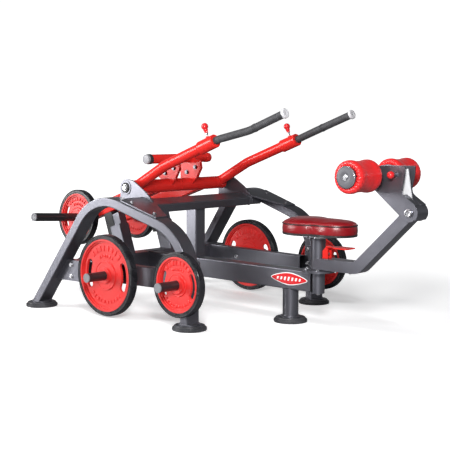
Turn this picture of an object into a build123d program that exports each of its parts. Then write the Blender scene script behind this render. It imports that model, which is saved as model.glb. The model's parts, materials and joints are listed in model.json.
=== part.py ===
from build123d import *
import os
from math import cos, hypot, pi, radians, sin, tan

# Plate-loaded seated dip press. All lengths are millimetres.
# The origin is on the floor under the middle front foot. +X points to the front of the
# machine, where the thigh rollers are, +Z is up, and Y = 0 is the middle plane. The user
# sits facing +X, so right-hand parts are at -Y. Right-hand parts are drawn, and left-hand
# parts are their mirror images.

# ---- driving dimensions -------------------------------------------------------------

# rubber foot pads
pad_radius = 90
pad_step_radius = 82
pad_lower_height = 15
pad_height = 26
pad_edge_round = 4
foot_plate_radius = 60
foot_plate_thickness = 6

# side arches: rectangular tube bent in a plane that passes over both of its feet
rear_foot_x = -1360
rear_foot_y = 627
arch_foot_x = -244
arch_foot_y = 533.5
arch_tube_width = 100
arch_tube_depth = 50
arch_rear_leg_angle = 54
arch_rear_leg_length = 619
arch_rear_bend_radius = 260
arch_top_angle = 17
arch_top_length = 295
arch_front_bend_radius = 265
arch_front_leg_length = 257
leg_base_height = 30
leg_overrun = 45
tube_wall = 3
tube_corner = 6

# base frame
beam_bottom = 182
beam_top = 290
main_beam_width = 80
rear_beam_x = -1117
rear_beam_width = 100
rail_width = 50
rail_start = 235
rail_end = 1092
bracket_end = 318
rail_bolt_station = 250
rail_bolt_heights = (196, 262)
front_plate_bottom = 205
front_plate_top = 350
front_plate_thickness = 8
front_plate_bolt_height = 326
post_x = -711.5
post_width = 80
front_leg_radius = 43

# lever pivot
pivot_x = -855
pivot_z = 705
shaft_radius = 20
pivot_plate_inner_y = 405
pivot_plate_thickness = 10
pivot_boss_radius = 40
pivot_boss_height = 4
shaft_half_length = 419
cross_member_x = -687
cross_member_z = 609.7
saddle_length = 262
saddle_start = 15
saddle_thickness = 8
saddle_edge_gap = 12
saddle_bolt_stations = (65, 232)

# levers
lever_tube_radius = 38
lever_tube_inner_y = 2
lever_tube_outer_y = 385
bush_radius = 27
bush_length = 40
arm_y = 346
arm_radius = 29
arm_wall = 4
lower_arm_angle = 28
lower_arm_length = 272
upper_arm_angle = 20.5
upper_arm_length = 403
arm_bend_radius = 220
sleeve_radius = 36
sleeve_length = 112
rear_arm_angle = 19.3
rear_arm_length = 668
rear_arm_tail = 38
rear_arm_height = 80
rear_arm_width = 60
rear_arm_inner_y = 153.5

# grips that turn in the sleeves
grip_bar_radius = 16
grip_bar_wall = 3.5
grip_rubber_radius = 20.5
grip_offset = 59
grip_droop = 13
grip_neck_start = 25
grip_neck_end = 190
grip_reach = 434
grip_bend_radius = 120
grip_depth = 105
grip_cap_radius = 25
grip_cap_length = 13
sleeve_clearance = 2
pin_station = 45
pin_radius = 4.5
pin_hole_radius = 4.8
pin_knob_radius = 16
pin_knob_height = 97

# band pegs, bolted to lugs on the lever tubes
peg_height = 155
peg_radius = 27
peg_inner_y = 20
peg_outer_y = 250
peg_cap_length = 12
lug_y = 80
lug_thickness = 10
lug_bolts = ((-7, 71), (63, 102))

# weight horns and storage horns
horn_radius = 25
horn_tilt = 3.8
lever_horn_length = 364
horn_collar_radius = 42
horn_collar_length = 8
rear_storage_x = -811
rear_storage_z = 233
rear_storage_tip_y = 742
front_storage_x = -245
front_storage_z = 244
front_storage_tip_y = 757
cap_length = 6

# weight plates
plate_bore_radius = 25.1
big_plate_radius = 225
big_plate_thickness = 44
big_plate_inner_y = 578
small_plate_radius = 170
small_plate_thickness = 40
small_plate_inner_y = 591
plate_tyre_width = 25
plate_rim_width = 10
plate_rim_step = 8
plate_hub_radius = 45
plate_land_share = 0.36
plate_web = 14
plate_shoulder = 5
big_slot_middle = 145
big_slot_width = 40
big_slot_half_angle = 24
small_slot_middle = 108
small_slot_width = 28
small_slot_half_angle = 28

# lever stops
stop_post_inner_y = 146
stop_post_width = 75
stop_post_depth = 90
stop_post_base_x = -1116
stop_post_length = 175
stop_block_height = 70
stop_clearance = 0.3

# seat
column_x = 183
column_radius = 38
column_lower_radius = 35
column_bottom = 184
column_top = 466
flange_radius = 89
flange_thickness = 12
seat_post_radius = 30
seat_post_wall = 4
seat_post_bottom = 192
seat_bottom = 487
seat_plate_thickness = 10
seat_plate_length = 180
seat_plate_width = 130
seat_height = 70
seat_rear_lobe_x = 123
seat_rear_lobe_radius = 145
seat_front_lobe_x = 298
seat_front_lobe_radius = 110
seat_waist_radius = 110
lock_pin_z = 392
lock_pin_radius = 6
seat_travel_step = 30
seat_steps = 5
seat_lever_z = 417
seat_lever_front = 390
seat_lever_half_width = 38
seat_lever_thickness = 7
lever_hub_radius = 8
lock_pin_neck = 3.5
prong_inner_y = 3.8

# thigh arm and bracket
thigh_arm_height = 60
thigh_arm_width = 80
thigh_arm_wall = 4
thigh_arm_z = 336.5
thigh_bend_x = 447
thigh_pivot_x = 756
thigh_pivot_z = 637
thigh_bolt_radius = 12
bracket_half_width = 50
bracket_plate_thickness = 6
roller_axle_x = 551
roller_axle_z = 811
axle_radius = 16
roller_radius = 83
roller_inner_y = 80
roller_outer_y = 278
sector_radius = 215
sector_thickness = 8
sector_hole_radius = 199
sector_first_angle = 113
sector_step = 10
sector_holes = 4
sector_sweep = 52
thigh_pin_radius = 5
pin_tip_y = 4.6
thigh_knob_y = 92
wrap_inner_radius = 40
web_slot_half_width = 7
axle_collar_end = 79.5
axle_disc_radius = 54

running_gap = 0.05
roller_gap = 0.1

os.makedirs("parts", exist_ok=True)


# ---- shared helpers -----------------------------------------------------------------

def save(name, builder):
    """Label a finished piece with its node name and write it."""
    builder.part.label = name
    export_step(builder.part, f"parts/{name}.step")


def mirrored(source):
    """The left-hand copy of a right-hand piece."""
    with BuildPart() as copy:
        mirror(source.part, about=Plane.XZ)
    return copy


def upright(distance):
    """A vertical plane at Y = -distance: its x is +X, its y is +Z, and it faces -Y."""
    return Plane.XZ.offset(distance)


def heading(angle):
    """Unit vector in the middle plane, at an angle above +X."""
    return Vector(cos(radians(angle)), 0, sin(radians(angle)))


def side_plane(x, y, z):
    """A vertical plane through a point, like upright but with its own origin."""
    return Plane(origin=(x, y, z), x_dir=(1, 0, 0), z_dir=(0, -1, 0))


def facing(point, direction):
    """A plane through a point that faces a direction."""
    return Plane(origin=point, z_dir=direction)


def hex_bolt(plane, radius=10, height=8):
    """A washer and a hexagon head that stand on a plane."""
    washer_height = 2
    with BuildPart() as bolt:
        with BuildSketch(plane) as washer:
            Circle(radius * 1.25)
        extrude(washer.sketch, amount=washer_height)
        with BuildSketch(plane.offset(washer_height)) as hexagon:
            RegularPolygon(radius=radius, side_count=6)
        extrude(hexagon.sketch, amount=height)
    return bolt.part


def tube_section(plane, width, height, wall=tube_wall, corner=tube_corner):
    """A rectangular tube's cross section, its height along the plane's y."""
    with BuildSketch(plane) as section:
        RectangleRounded(width, height, corner)
        RectangleRounded(
            width - 2 * wall, height - 2 * wall, corner - wall / 2, mode=Mode.SUBTRACT
        )
    return section.sketch


def disc(plane, radius):
    """A filled circle on a plane."""
    with BuildSketch(plane) as circle:
        Circle(radius)
    return circle.sketch


def annulus(plane, outer_radius, inner_radius):
    """A flat ring on a plane."""
    with BuildSketch(plane) as ring:
        Circle(outer_radius)
        Circle(inner_radius, mode=Mode.SUBTRACT)
    return ring.sketch


# ---- places worked out from the driving dimensions ----------------------------------

arch_run = hypot(arch_foot_x - rear_foot_x, rear_foot_y - arch_foot_y)
arch_along = Vector(arch_foot_x - rear_foot_x, rear_foot_y - arch_foot_y, 0) / arch_run
arch_outward = Vector(arch_along.Y, -arch_along.X, 0)
arch_plane = Plane(
    origin=(rear_foot_x, -rear_foot_y, 0), x_dir=arch_along, z_dir=arch_outward
)
arch_half_width = arch_tube_width / 2
arch_half_depth = arch_tube_depth / 2
leg_angle = radians(arch_rear_leg_angle)
top_angle = radians(arch_top_angle)
top_start_s = arch_rear_leg_length * cos(leg_angle) + arch_rear_bend_radius * (
    sin(leg_angle) + sin(top_angle)
)
top_start_z = (
    leg_base_height
    + arch_rear_leg_length * sin(leg_angle)
    + arch_rear_bend_radius * (cos(top_angle) - cos(leg_angle))
)


def arch_point(station, height, outward=0):
    """A point of the right-hand arch: along its foot line, up, and outward."""
    foot = Vector(rear_foot_x, -rear_foot_y, 0)
    return foot + arch_along * station + arch_outward * outward + Vector(0, 0, height)


up = Vector(0, 0, 1)
arch_top_heading = arch_along * cos(top_angle) - up * sin(top_angle)
arch_top_normal = arch_along * sin(top_angle) + up * cos(top_angle)
saddle_plane = Plane(
    origin=arch_point(top_start_s, top_start_z) + arch_top_normal * arch_half_depth,
    x_dir=arch_top_heading,
    z_dir=arch_top_normal,
)
member_plane = Plane(
    origin=(cross_member_x, 0, cross_member_z),
    x_dir=heading(-arch_top_angle),
    z_dir=(0, -1, 0),
)
member_normal = heading(90 - arch_top_angle)
member_underside = facing(
    Vector(cross_member_x, 0, cross_member_z) - member_normal * arch_half_depth,
    member_normal,
)
beam_middle = (beam_bottom + beam_top) / 2
beam_height = beam_top - beam_bottom
rail_inner = arch_plane.offset(-arch_half_width - rail_width)
pivot_origin = Vector(pivot_x, 0, pivot_z)

bend_x = pivot_x + lower_arm_length * cos(radians(lower_arm_angle))
bend_z = pivot_z + lower_arm_length * sin(radians(lower_arm_angle))
mouth_x = bend_x + upper_arm_length * cos(radians(upper_arm_angle))
mouth_z = bend_z + upper_arm_length * sin(radians(upper_arm_angle))
mouth = Vector(mouth_x, -arm_y, mouth_z)
sleeve_axis = heading(upper_arm_angle)
sleeve_up = heading(upper_arm_angle + 90)

rear_arm_axis = heading(180 + rear_arm_angle)
rear_arm_up = heading(90 + rear_arm_angle)
rear_arm_middle_y = rear_arm_inner_y + rear_arm_width / 2
rear_arm_outer_y = rear_arm_inner_y + rear_arm_width
lever_horn_centre = pivot_origin + rear_arm_axis * rear_arm_length
lever_horn_axis = Vector(0, -cos(radians(horn_tilt)), sin(radians(horn_tilt)))
lever_horn_plane = Plane(
    origin=lever_horn_centre - Vector(0, rear_arm_outer_y, 0),
    x_dir=(1, 0, 0),
    z_dir=lever_horn_axis,
)


# ---- frame --------------------------------------------------------------------------

foot_spots = (
    (rear_foot_x, -rear_foot_y),
    (rear_foot_x, rear_foot_y),
    (arch_foot_x, -arch_foot_y),
    (arch_foot_x, arch_foot_y),
    (0, 0),
)
with BuildPart() as foot_pads:
    with BuildSketch(Plane.XY):
        with Locations(*foot_spots):
            Circle(pad_radius)
    extrude(amount=pad_lower_height)
    with BuildSketch(Plane.XY.offset(pad_lower_height)):
        with Locations(*foot_spots):
            Circle(pad_step_radius)
    extrude(amount=pad_height - pad_lower_height)
    fillet(foot_pads.edges().filter_by(GeomType.CIRCLE).group_by(Axis.Z)[-1], pad_edge_round)
save("foot_pads", foot_pads)


def arch_band(half_depth):
    """The side view of an arch's bent bar: its centre line, thickened both ways."""
    overrun_x = leg_overrun * cos(leg_angle)
    overrun_z = leg_overrun * sin(leg_angle)
    rear_length = arch_rear_leg_length + leg_overrun
    front_length = arch_front_leg_length + leg_overrun
    rear_turn = -arch_rear_leg_angle - arch_top_angle
    front_turn = arch_top_angle - 90
    with BuildSketch(arch_plane) as band:
        with BuildLine():
            rear_leg = PolarLine(
                (-overrun_x, leg_base_height - overrun_z), rear_length, arch_rear_leg_angle
            )
            rear_bend = JernArc(
                rear_leg @ 1, rear_leg % 1, arch_rear_bend_radius, rear_turn
            )
            top = PolarLine(rear_bend @ 1, arch_top_length, -arch_top_angle)
            front_bend = JernArc(top @ 1, top % 1, arch_front_bend_radius, front_turn)
            PolarLine(front_bend @ 1, front_length, -90)
            offset(amount=half_depth, side=Side.BOTH)
        make_face()
    return band.sketch


arch_solid_band = arch_band(arch_half_depth)
arch_bore_band = arch_band(arch_half_depth - tube_wall)
stub_drop = 12
stub_bottom = beam_bottom - stub_drop
stub_leg_bottom = (stub_bottom - leg_base_height) / tan(leg_angle)
stub_leg_top = (beam_top - leg_base_height) / tan(leg_angle)

with BuildPart() as side_arches:
    extrude(arch_solid_band, amount=arch_half_width, both=True)
    long_edges = side_arches.edges().filter_by(
        lambda edge: edge.length > arch_tube_width + 1
    )
    fillet(long_edges, tube_corner)
    # stub that carries the rear end of the side rail, from the rear leg's front face
    with BuildSketch(arch_plane.offset(-arch_half_width)):
        with BuildLine():
            Polyline(
                (stub_leg_bottom, stub_bottom),
                (bracket_end, stub_bottom),
                (bracket_end, beam_top),
                (stub_leg_top, beam_top),
                close=True,
            )
        make_face()
    extrude(amount=arch_half_width)
    # plate on the front leg's inner face that carries the front end of the side rail
    with BuildSketch(arch_plane.offset(-arch_half_width)):
        with Locations((arch_run, (front_plate_bottom + front_plate_top) / 2)):
            Rectangle(arch_tube_depth, front_plate_top - front_plate_bottom)
    extrude(amount=-front_plate_thickness)
    extrude(arch_bore_band, amount=arch_half_width - tube_wall, both=True, mode=Mode.SUBTRACT)
    split(bisect_by=Plane.XY.offset(pad_height), keep=Keep.TOP)
    with BuildSketch(Plane.XY.offset(pad_height)):
        with Locations(foot_spots[0], foot_spots[2]):
            Circle(foot_plate_radius)
    extrude(amount=foot_plate_thickness)
    mirror(about=Plane.XZ)
save("side_arches", side_arches)

with BuildPart() as cross_member:
    extrude(
        tube_section(member_plane, arch_tube_width, arch_tube_depth),
        amount=pivot_plate_inner_y,
        both=True,
    )
save("cross_member", cross_member)

plate_brow = ((57, 39), (114, 8), (170, -28), (210, -64), (236, -118))
plate_heel = (-48, -105)
plate_round = 48
inward_reach = 220
inward_arm_station = 26
inward_arm_depth = 58
inward_arm_rear = inward_arm_station - arch_half_width
inward_arm_front = inward_arm_station + arch_half_width
saddle_gusset = (90, 160)

with BuildPart() as pivot_plates:
    # side plate: round about the pivot, then a long brow down to the cross member
    with BuildSketch(side_plane(pivot_x, -pivot_plate_inner_y, pivot_z)):
        with BuildLine():
            Spline((0, plate_round), *plate_brow, tangents=((1, 0), (0.2, -1)))
            Polyline(plate_brow[-1], plate_heel, (-plate_round, 0))
            RadiusArc((-plate_round, 0), (0, plate_round), plate_round)
        make_face()
    extrude(amount=pivot_plate_thickness)
    with BuildSketch(upright(pivot_plate_inner_y + pivot_plate_thickness)):
        with Locations((pivot_x, pivot_z)):
            Circle(pivot_boss_radius)
    extrude(amount=pivot_boss_height)
    # arm from the side plate out to the arch, and the saddle that caps both
    saddle_end = saddle_start + saddle_length
    with BuildSketch(saddle_plane):
        with Locations((inward_arm_station, arch_half_width)):
            Rectangle(arch_tube_width, inward_reach, align=(Align.CENTER, Align.MIN))
    extrude(amount=-inward_arm_depth)
    with BuildSketch(saddle_plane):
        with BuildLine():
            Polyline(
                (saddle_start, saddle_edge_gap - arch_half_width),
                (saddle_end, saddle_edge_gap - arch_half_width),
                (saddle_end, arch_half_width),
                saddle_gusset,
                (inward_arm_front, inward_reach),
                (inward_arm_rear, inward_reach),
                (saddle_start, arch_half_width),
                close=True,
            )
        make_face()
    extrude(amount=saddle_thickness)
    split(bisect_by=upright(pivot_plate_inner_y), keep=Keep.TOP)
    with BuildSketch(upright(pivot_plate_inner_y)):
        with Locations((pivot_x, pivot_z)):
            Circle(shaft_radius + running_gap)
    extrude(amount=pivot_plate_thickness + pivot_boss_height, mode=Mode.SUBTRACT)
    mirror(about=Plane.XZ)
save("pivot_plates", pivot_plates)

with BuildPart() as pivot_shaft:
    with BuildSketch(Plane.XZ):
        with Locations((pivot_x, pivot_z)):
            Circle(shaft_radius)
    extrude(amount=shaft_half_length, both=True)
save("pivot_shaft", pivot_shaft)

end_washer_lip = 8
end_washer_thickness = 4
end_bolt_radius = 15
with BuildPart() as pivot_end_bolts:
    shaft_end = facing((pivot_x, -shaft_half_length, pivot_z), (0, -1, 0))
    extrude(disc(shaft_end, shaft_radius + end_washer_lip), amount=end_washer_thickness)
    add(hex_bolt(shaft_end.offset(end_washer_thickness), radius=end_bolt_radius))
    mirror(about=Plane.XZ)
save("pivot_end_bolts", pivot_end_bolts)

beam_wall = 4
beam_end_setback = 22
column_fit = 0.2
rear_beam_front = rear_beam_x + rear_beam_width / 2
main_beam_front = column_x - beam_end_setback
with BuildPart() as main_beam:
    beam_start = Plane(
        origin=(rear_beam_front, 0, beam_middle), x_dir=(0, 1, 0), z_dir=(1, 0, 0)
    )
    extrude(
        tube_section(beam_start, main_beam_width, beam_height, beam_wall),
        amount=main_beam_front - rear_beam_front,
    )
    extrude(
        disc(facing((column_x, 0, 0), up), column_lower_radius + column_fit),
        amount=beam_top,
        mode=Mode.SUBTRACT,
    )
save("main_beam", main_beam)

with BuildPart() as centre_post:
    post_foot = facing((post_x, 0, beam_top), up)
    extrude(
        tube_section(post_foot, post_width, post_width, beam_wall),
        amount=cross_member_z - beam_top,
    )
    split(bisect_by=member_underside, keep=Keep.BOTTOM)
save("centre_post", centre_post)

with BuildPart() as rear_cross_beam:
    extrude(
        tube_section(
            side_plane(rear_beam_x, 0, beam_middle), rear_beam_width, beam_height, beam_wall
        ),
        amount=rear_foot_y,
    )
    split(bisect_by=rail_inner, keep=Keep.BOTTOM)
    mirror(about=Plane.XZ)
save("rear_cross_beam", rear_cross_beam)

with BuildPart() as side_rails:
    rail_back = Plane(
        origin=arch_point(rail_start, beam_middle, -arch_half_width - rail_width / 2),
        x_dir=arch_outward,
        z_dir=arch_along,
    )
    extrude(
        tube_section(rail_back, rail_width, beam_height, beam_wall),
        amount=rail_end - rail_start,
    )
    mirror(about=Plane.XZ)
save("side_rails", side_rails)

stop_y = stop_post_inner_y + stop_post_width / 2
stop_base = Vector(stop_post_base_x, -stop_y, beam_top)
stop_plane = Plane(
    origin=stop_base, x_dir=heading(rear_arm_angle), z_dir=heading(90 + rear_arm_angle)
)
stop_top = stop_plane.offset(stop_post_length)
stop_top_wall = 6
stop_half_depth = stop_post_depth / 2
stop_block_rear = -12
stop_block_width = 52
with BuildPart() as stop_posts:
    extrude(
        tube_section(
            stop_plane.offset(-stop_post_depth), stop_post_depth, stop_post_width, beam_wall
        ),
        amount=stop_post_depth + stop_post_length,
    )
    with BuildSketch(stop_top):
        RectangleRounded(stop_post_depth, stop_post_width, tube_corner)
    extrude(amount=-stop_top_wall)
    with BuildSketch(stop_top):
        with Locations(((stop_half_depth + stop_block_rear) / 2, 0)):
            Rectangle(stop_half_depth - stop_block_rear, stop_block_width)
    extrude(amount=stop_block_height)
    split(bisect_by=facing((0, 0, beam_top), up), keep=Keep.TOP)
    mirror(about=Plane.XZ)
save("stop_posts", stop_posts)

# the rubber reaches up to just short of the rear arm's underside
stop_top_depth = (pivot_origin - stop_top.origin).dot(rear_arm_up)
buffer_height = stop_top_depth - rear_arm_height / 2 - stop_clearance
buffer_rear = -80
buffer_lip = 50
buffer_width = 60
with BuildPart() as stop_buffers:
    with BuildSketch(stop_top):
        with Locations(((buffer_rear + stop_block_rear) / 2, 0)):
            Rectangle(stop_block_rear - buffer_rear, buffer_width)
    extrude(amount=buffer_height)
    with BuildSketch(stop_top):
        with Locations(((buffer_rear - stop_half_depth) / 2, 0)):
            Rectangle(-stop_half_depth - buffer_rear, buffer_width)
    extrude(amount=-buffer_lip)
    mirror(about=Plane.XZ)
save("stop_buffers", stop_buffers)

front_leg_wall = 4
with BuildPart() as front_leg:
    leg_foot = Plane.XY.offset(pad_height)
    extrude(
        annulus(leg_foot, front_leg_radius, front_leg_radius - front_leg_wall),
        amount=beam_bottom - pad_height,
    )
    extrude(disc(leg_foot, foot_plate_radius), amount=foot_plate_thickness)
save("front_leg", front_leg)

horn_collar_step = 9
rear_horn_foot = Vector(rear_storage_x, -rear_foot_y + rail_width, rear_storage_z)
front_horn_foot = Vector(front_storage_x, -arch_foot_y, front_storage_z)


def storage_horn(face, centre, tip_y, collar_end_y):
    """A horn along -Y from a slanted face, with a collar the plate rests against."""
    start = side_plane(centre.X, centre.Y + arch_tube_width, centre.Z)
    with BuildPart() as horn:
        extrude(disc(start, horn_radius), amount=tip_y + start.origin.Y)
        extrude(disc(start, horn_radius + horn_collar_step), amount=collar_end_y + start.origin.Y)
        split(bisect_by=face, keep=Keep.TOP)
    return horn.part


rail_outer = arch_plane.offset(-arch_half_width)
arch_outer = arch_plane.offset(arch_half_width)
with BuildPart() as storage_horns:
    add(storage_horn(rail_outer, rear_horn_foot, rear_storage_tip_y, big_plate_inner_y))
    add(storage_horn(arch_outer, front_horn_foot, front_storage_tip_y, small_plate_inner_y))
    mirror(about=Plane.XZ)
save("storage_horns", storage_horns)

with BuildPart() as storage_horn_caps:
    for horn_x, tip_y, horn_z in (
        (rear_storage_x, rear_storage_tip_y, rear_storage_z),
        (front_storage_x, front_storage_tip_y, front_storage_z),
    ):
        extrude(disc(side_plane(horn_x, -tip_y, horn_z), horn_radius), amount=cap_length)
    fillet(storage_horn_caps.faces().sort_by(Axis.Y).group_by(Axis.Y)[0].edges(), 2)
    mirror(about=Plane.XZ)
save("storage_horn_caps", storage_horn_caps)

# ---- seat column and thigh arm, both part of the frame ------------------------------

column_bore = seat_post_radius + running_gap
column_floor = 8
with BuildPart() as seat_column:
    extrude(
        disc(facing((column_x, 0, column_bottom - column_floor), up), column_lower_radius),
        amount=beam_top + column_floor - column_bottom,
    )
    extrude(disc(facing((column_x, 0, beam_top), up), flange_radius), amount=flange_thickness)
    extrude(
        disc(facing((column_x, 0, beam_top), up), column_radius),
        amount=column_top - beam_top,
    )
    extrude(
        disc(facing((column_x, 0, column_bottom), up), column_bore),
        amount=column_top - column_bottom,
        mode=Mode.SUBTRACT,
    )
    extrude(
        disc(facing((column_x, 0, lock_pin_z), (1, 0, 0)), lock_pin_radius + running_gap),
        amount=column_radius + 1,
        mode=Mode.SUBTRACT,
    )
save("seat_column", seat_column)

lever_hinge_x = column_x + 58.5
cheek_inner_y = 13
cheek_thickness = 6
cheek_front = lever_hinge_x + 16
cheek_rear = column_x + column_radius + 2.5
cheek_cover = 9
guide_top = lock_pin_z + 12
guide_thickness = 6
thigh_arm_top = thigh_arm_z + thigh_arm_height / 2
hinge_pin_radius = 4
with BuildPart() as seat_lever_bracket:
    # two cheeks on the thigh arm that hold the lever's hinge pin
    with BuildSketch(upright(cheek_inner_y)):
        with BuildLine():
            Polyline(
                (cheek_rear, thigh_arm_top),
                (cheek_front, thigh_arm_top),
                (cheek_front, seat_lever_z),
                (lever_hinge_x, seat_lever_z + cheek_cover),
                (cheek_rear, guide_top),
                close=True,
            )
        make_face()
    extrude(amount=cheek_thickness)
    mirror(about=Plane.XZ)
    # guide block for the lock pin, between the cheeks
    with BuildSketch(Plane.XZ):
        with Locations((cheek_rear + guide_thickness / 2, (thigh_arm_top + guide_top) / 2)):
            Rectangle(guide_thickness, guide_top - thigh_arm_top)
    extrude(amount=cheek_inner_y, both=True)
    with BuildSketch(Plane.XZ):
        with Locations((lever_hinge_x, seat_lever_z)):
            Circle(hinge_pin_radius)
    extrude(amount=cheek_inner_y + cheek_thickness + 2, both=True)
    extrude(
        disc(facing((cheek_rear, 0, lock_pin_z), (1, 0, 0)), lock_pin_radius + running_gap),
        amount=guide_thickness + 1,
        mode=Mode.SUBTRACT,
    )
save("seat_lever_bracket", seat_lever_bracket)

thigh_arm_start = column_x + column_radius / 2
thigh_arm_fit = 0.1
thigh_tube_radius = 20
thigh_bend_radius = 45
thigh_pivot = (thigh_pivot_x, thigh_pivot_z)


def thigh_arm_profile(half_height):
    """Side view of the bent arm that carries the thigh rollers."""
    with BuildSketch(Plane.XZ) as profile:
        with BuildLine():
            FilletPolyline(
                (thigh_arm_start, thigh_arm_z),
                (thigh_bend_x, thigh_arm_z),
                thigh_pivot,
                radius=thigh_bend_radius,
            )
            offset(amount=half_height, side=Side.BOTH)
        make_face()
    return profile.sketch


with BuildPart() as thigh_arm:
    extrude(thigh_arm_profile(thigh_arm_height / 2), amount=thigh_arm_width / 2, both=True)
    extrude(
        thigh_arm_profile(thigh_arm_height / 2 - thigh_arm_wall),
        amount=thigh_arm_width / 2 - thigh_arm_wall,
        both=True,
        mode=Mode.SUBTRACT,
    )
    with BuildSketch(Plane.XZ):
        with Locations(thigh_pivot):
            Circle(thigh_arm_height / 2)
    extrude(amount=thigh_arm_width / 2, both=True)
    with BuildSketch(Plane.XZ):
        with Locations(thigh_pivot):
            Circle(thigh_bolt_radius + running_gap)
    extrude(amount=thigh_arm_width / 2, both=True, mode=Mode.SUBTRACT)
    extrude(
        disc(facing((column_x, 0, 0), up), column_radius + thigh_arm_fit),
        amount=column_top,
        mode=Mode.SUBTRACT,
    )
save("thigh_arm", thigh_arm)

sector_margin = 13
hole_ease = 0.3
with BuildPart() as sector_plate:
    with BuildSketch(Plane.XZ):
        with BuildLine():
            sector_start = sector_first_angle - sector_margin
            inner_arc = CenterArc(thigh_pivot, thigh_tube_radius, sector_start, sector_sweep)
            outer_arc = CenterArc(thigh_pivot, sector_radius, sector_start, sector_sweep)
            Line(inner_arc @ 0, outer_arc @ 0)
            Line(inner_arc @ 1, outer_arc @ 1)
        make_face()
        with Locations(thigh_pivot):
            for hole in range(sector_holes):
                angle = sector_first_angle + hole * sector_step
                with PolarLocations(sector_hole_radius, 1, angle):
                    Circle(thigh_pin_radius + hole_ease, mode=Mode.SUBTRACT)
            Circle(thigh_arm_height / 2, mode=Mode.SUBTRACT)
    extrude(amount=sector_thickness / 2, both=True)
    extrude(
        thigh_arm_profile(thigh_arm_height / 2),
        amount=sector_thickness,
        both=True,
        mode=Mode.SUBTRACT,
    )
save("sector_plate", sector_plate)

bracket_inner_y = bracket_half_width - bracket_plate_thickness
bolt_head_gap = 0.2
bolt_head_height = 8
with BuildPart() as thigh_pivot_bolt:
    with BuildSketch(Plane.XZ):
        with Locations(thigh_pivot):
            Circle(thigh_bolt_radius)
    extrude(amount=bracket_half_width + 1, both=True)
    head_start = bracket_half_width + bolt_head_gap
    with BuildSketch(upright(head_start)):
        with Locations(thigh_pivot):
            Circle(thigh_tube_radius)
    extrude(amount=bolt_head_height)
    with BuildSketch(upright(-head_start)):
        with Locations(thigh_pivot):
            Circle(thigh_tube_radius)
    extrude(amount=-bolt_head_height)
save("thigh_pivot_bolt", thigh_pivot_bolt)

flange_bolt_circle = 68
flange_bolt_count = 5
flange_bolt_step = 60
small_bolt_radius = 8
small_bolt_height = 6
column_bolt_radius = 12
arm_bolt_setback = 60
with BuildPart() as frame_bolts:
    # side rails on the rear stubs, the front plates on the rails, the storage horns
    for height in rail_bolt_heights:
        add(hex_bolt(facing(arch_point(rail_bolt_station, height), arch_outward)))
    inner_face = -arch_half_width - front_plate_thickness
    plate_bolt = arch_point(arch_run, front_plate_bolt_height, inner_face)
    front_horn_bolt = arch_point(arch_run, front_storage_z, inner_face)
    rear_horn_station = (rear_storage_x - rear_foot_x) / arch_along.X
    rear_horn_bolt = arch_point(
        rear_horn_station, rear_storage_z, -arch_half_width - rail_width
    )
    for spot in (plate_bolt, front_horn_bolt, rear_horn_bolt):
        add(hex_bolt(facing(spot, arch_outward * -1)))
    for station in saddle_bolt_stations:
        top_face = saddle_plane.offset(saddle_thickness)
        spot = top_face.from_local_coords((station, 0, 0))
        add(hex_bolt(facing(spot, arch_top_normal)))
    mirror(about=Plane.XZ)
    # flange bolts round the seat column, and one under it
    flange_top = facing((column_x, 0, beam_top + flange_thickness), up)
    for bolt in range(flange_bolt_count):
        angle = radians(flange_bolt_step * (bolt + 1))
        spot = flange_top.from_local_coords(
            (flange_bolt_circle * cos(angle), flange_bolt_circle * sin(angle), 0)
        )
        add(hex_bolt(facing(spot, up), small_bolt_radius, small_bolt_height))
    down = (0, 0, -1)
    column_foot = (column_x, 0, column_bottom - column_floor)
    arm_spot = (thigh_bend_x - arm_bolt_setback, 0, thigh_arm_z - thigh_arm_height / 2)
    add(hex_bolt(facing(column_foot, down), column_bolt_radius))
    add(hex_bolt(facing(arm_spot, down), small_bolt_radius))
save("frame_bolts", frame_bolts)

# ---- levers -------------------------------------------------------------------------

band_lug_outer_y = lug_y + 2 * lug_thickness
lug_outline = ((-61, 36), (-61, 118), (97, 134), (105, 98), (72, 41))
band_lug_outline = (
    (-61, 41),
    (-61, 118),
    (-27, 150),
    (27, 158),
    (97, 139),
    (105, 98),
    (72, 41),
)


lug_foot_half_width = 36
insert_gap = 4
sleeve_plug = 6
pin_boss_outer_radius = 10
pin_boss_foot = 30
pin_boss_height = 10
peg_wall = 3
arm_plug_thickness = 4
lug_bolt_radius = 11


def pivot_plane(distance):
    """The plane at Y = -distance with its origin on the pivot axis."""
    return side_plane(pivot_x, -distance, pivot_z)


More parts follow.
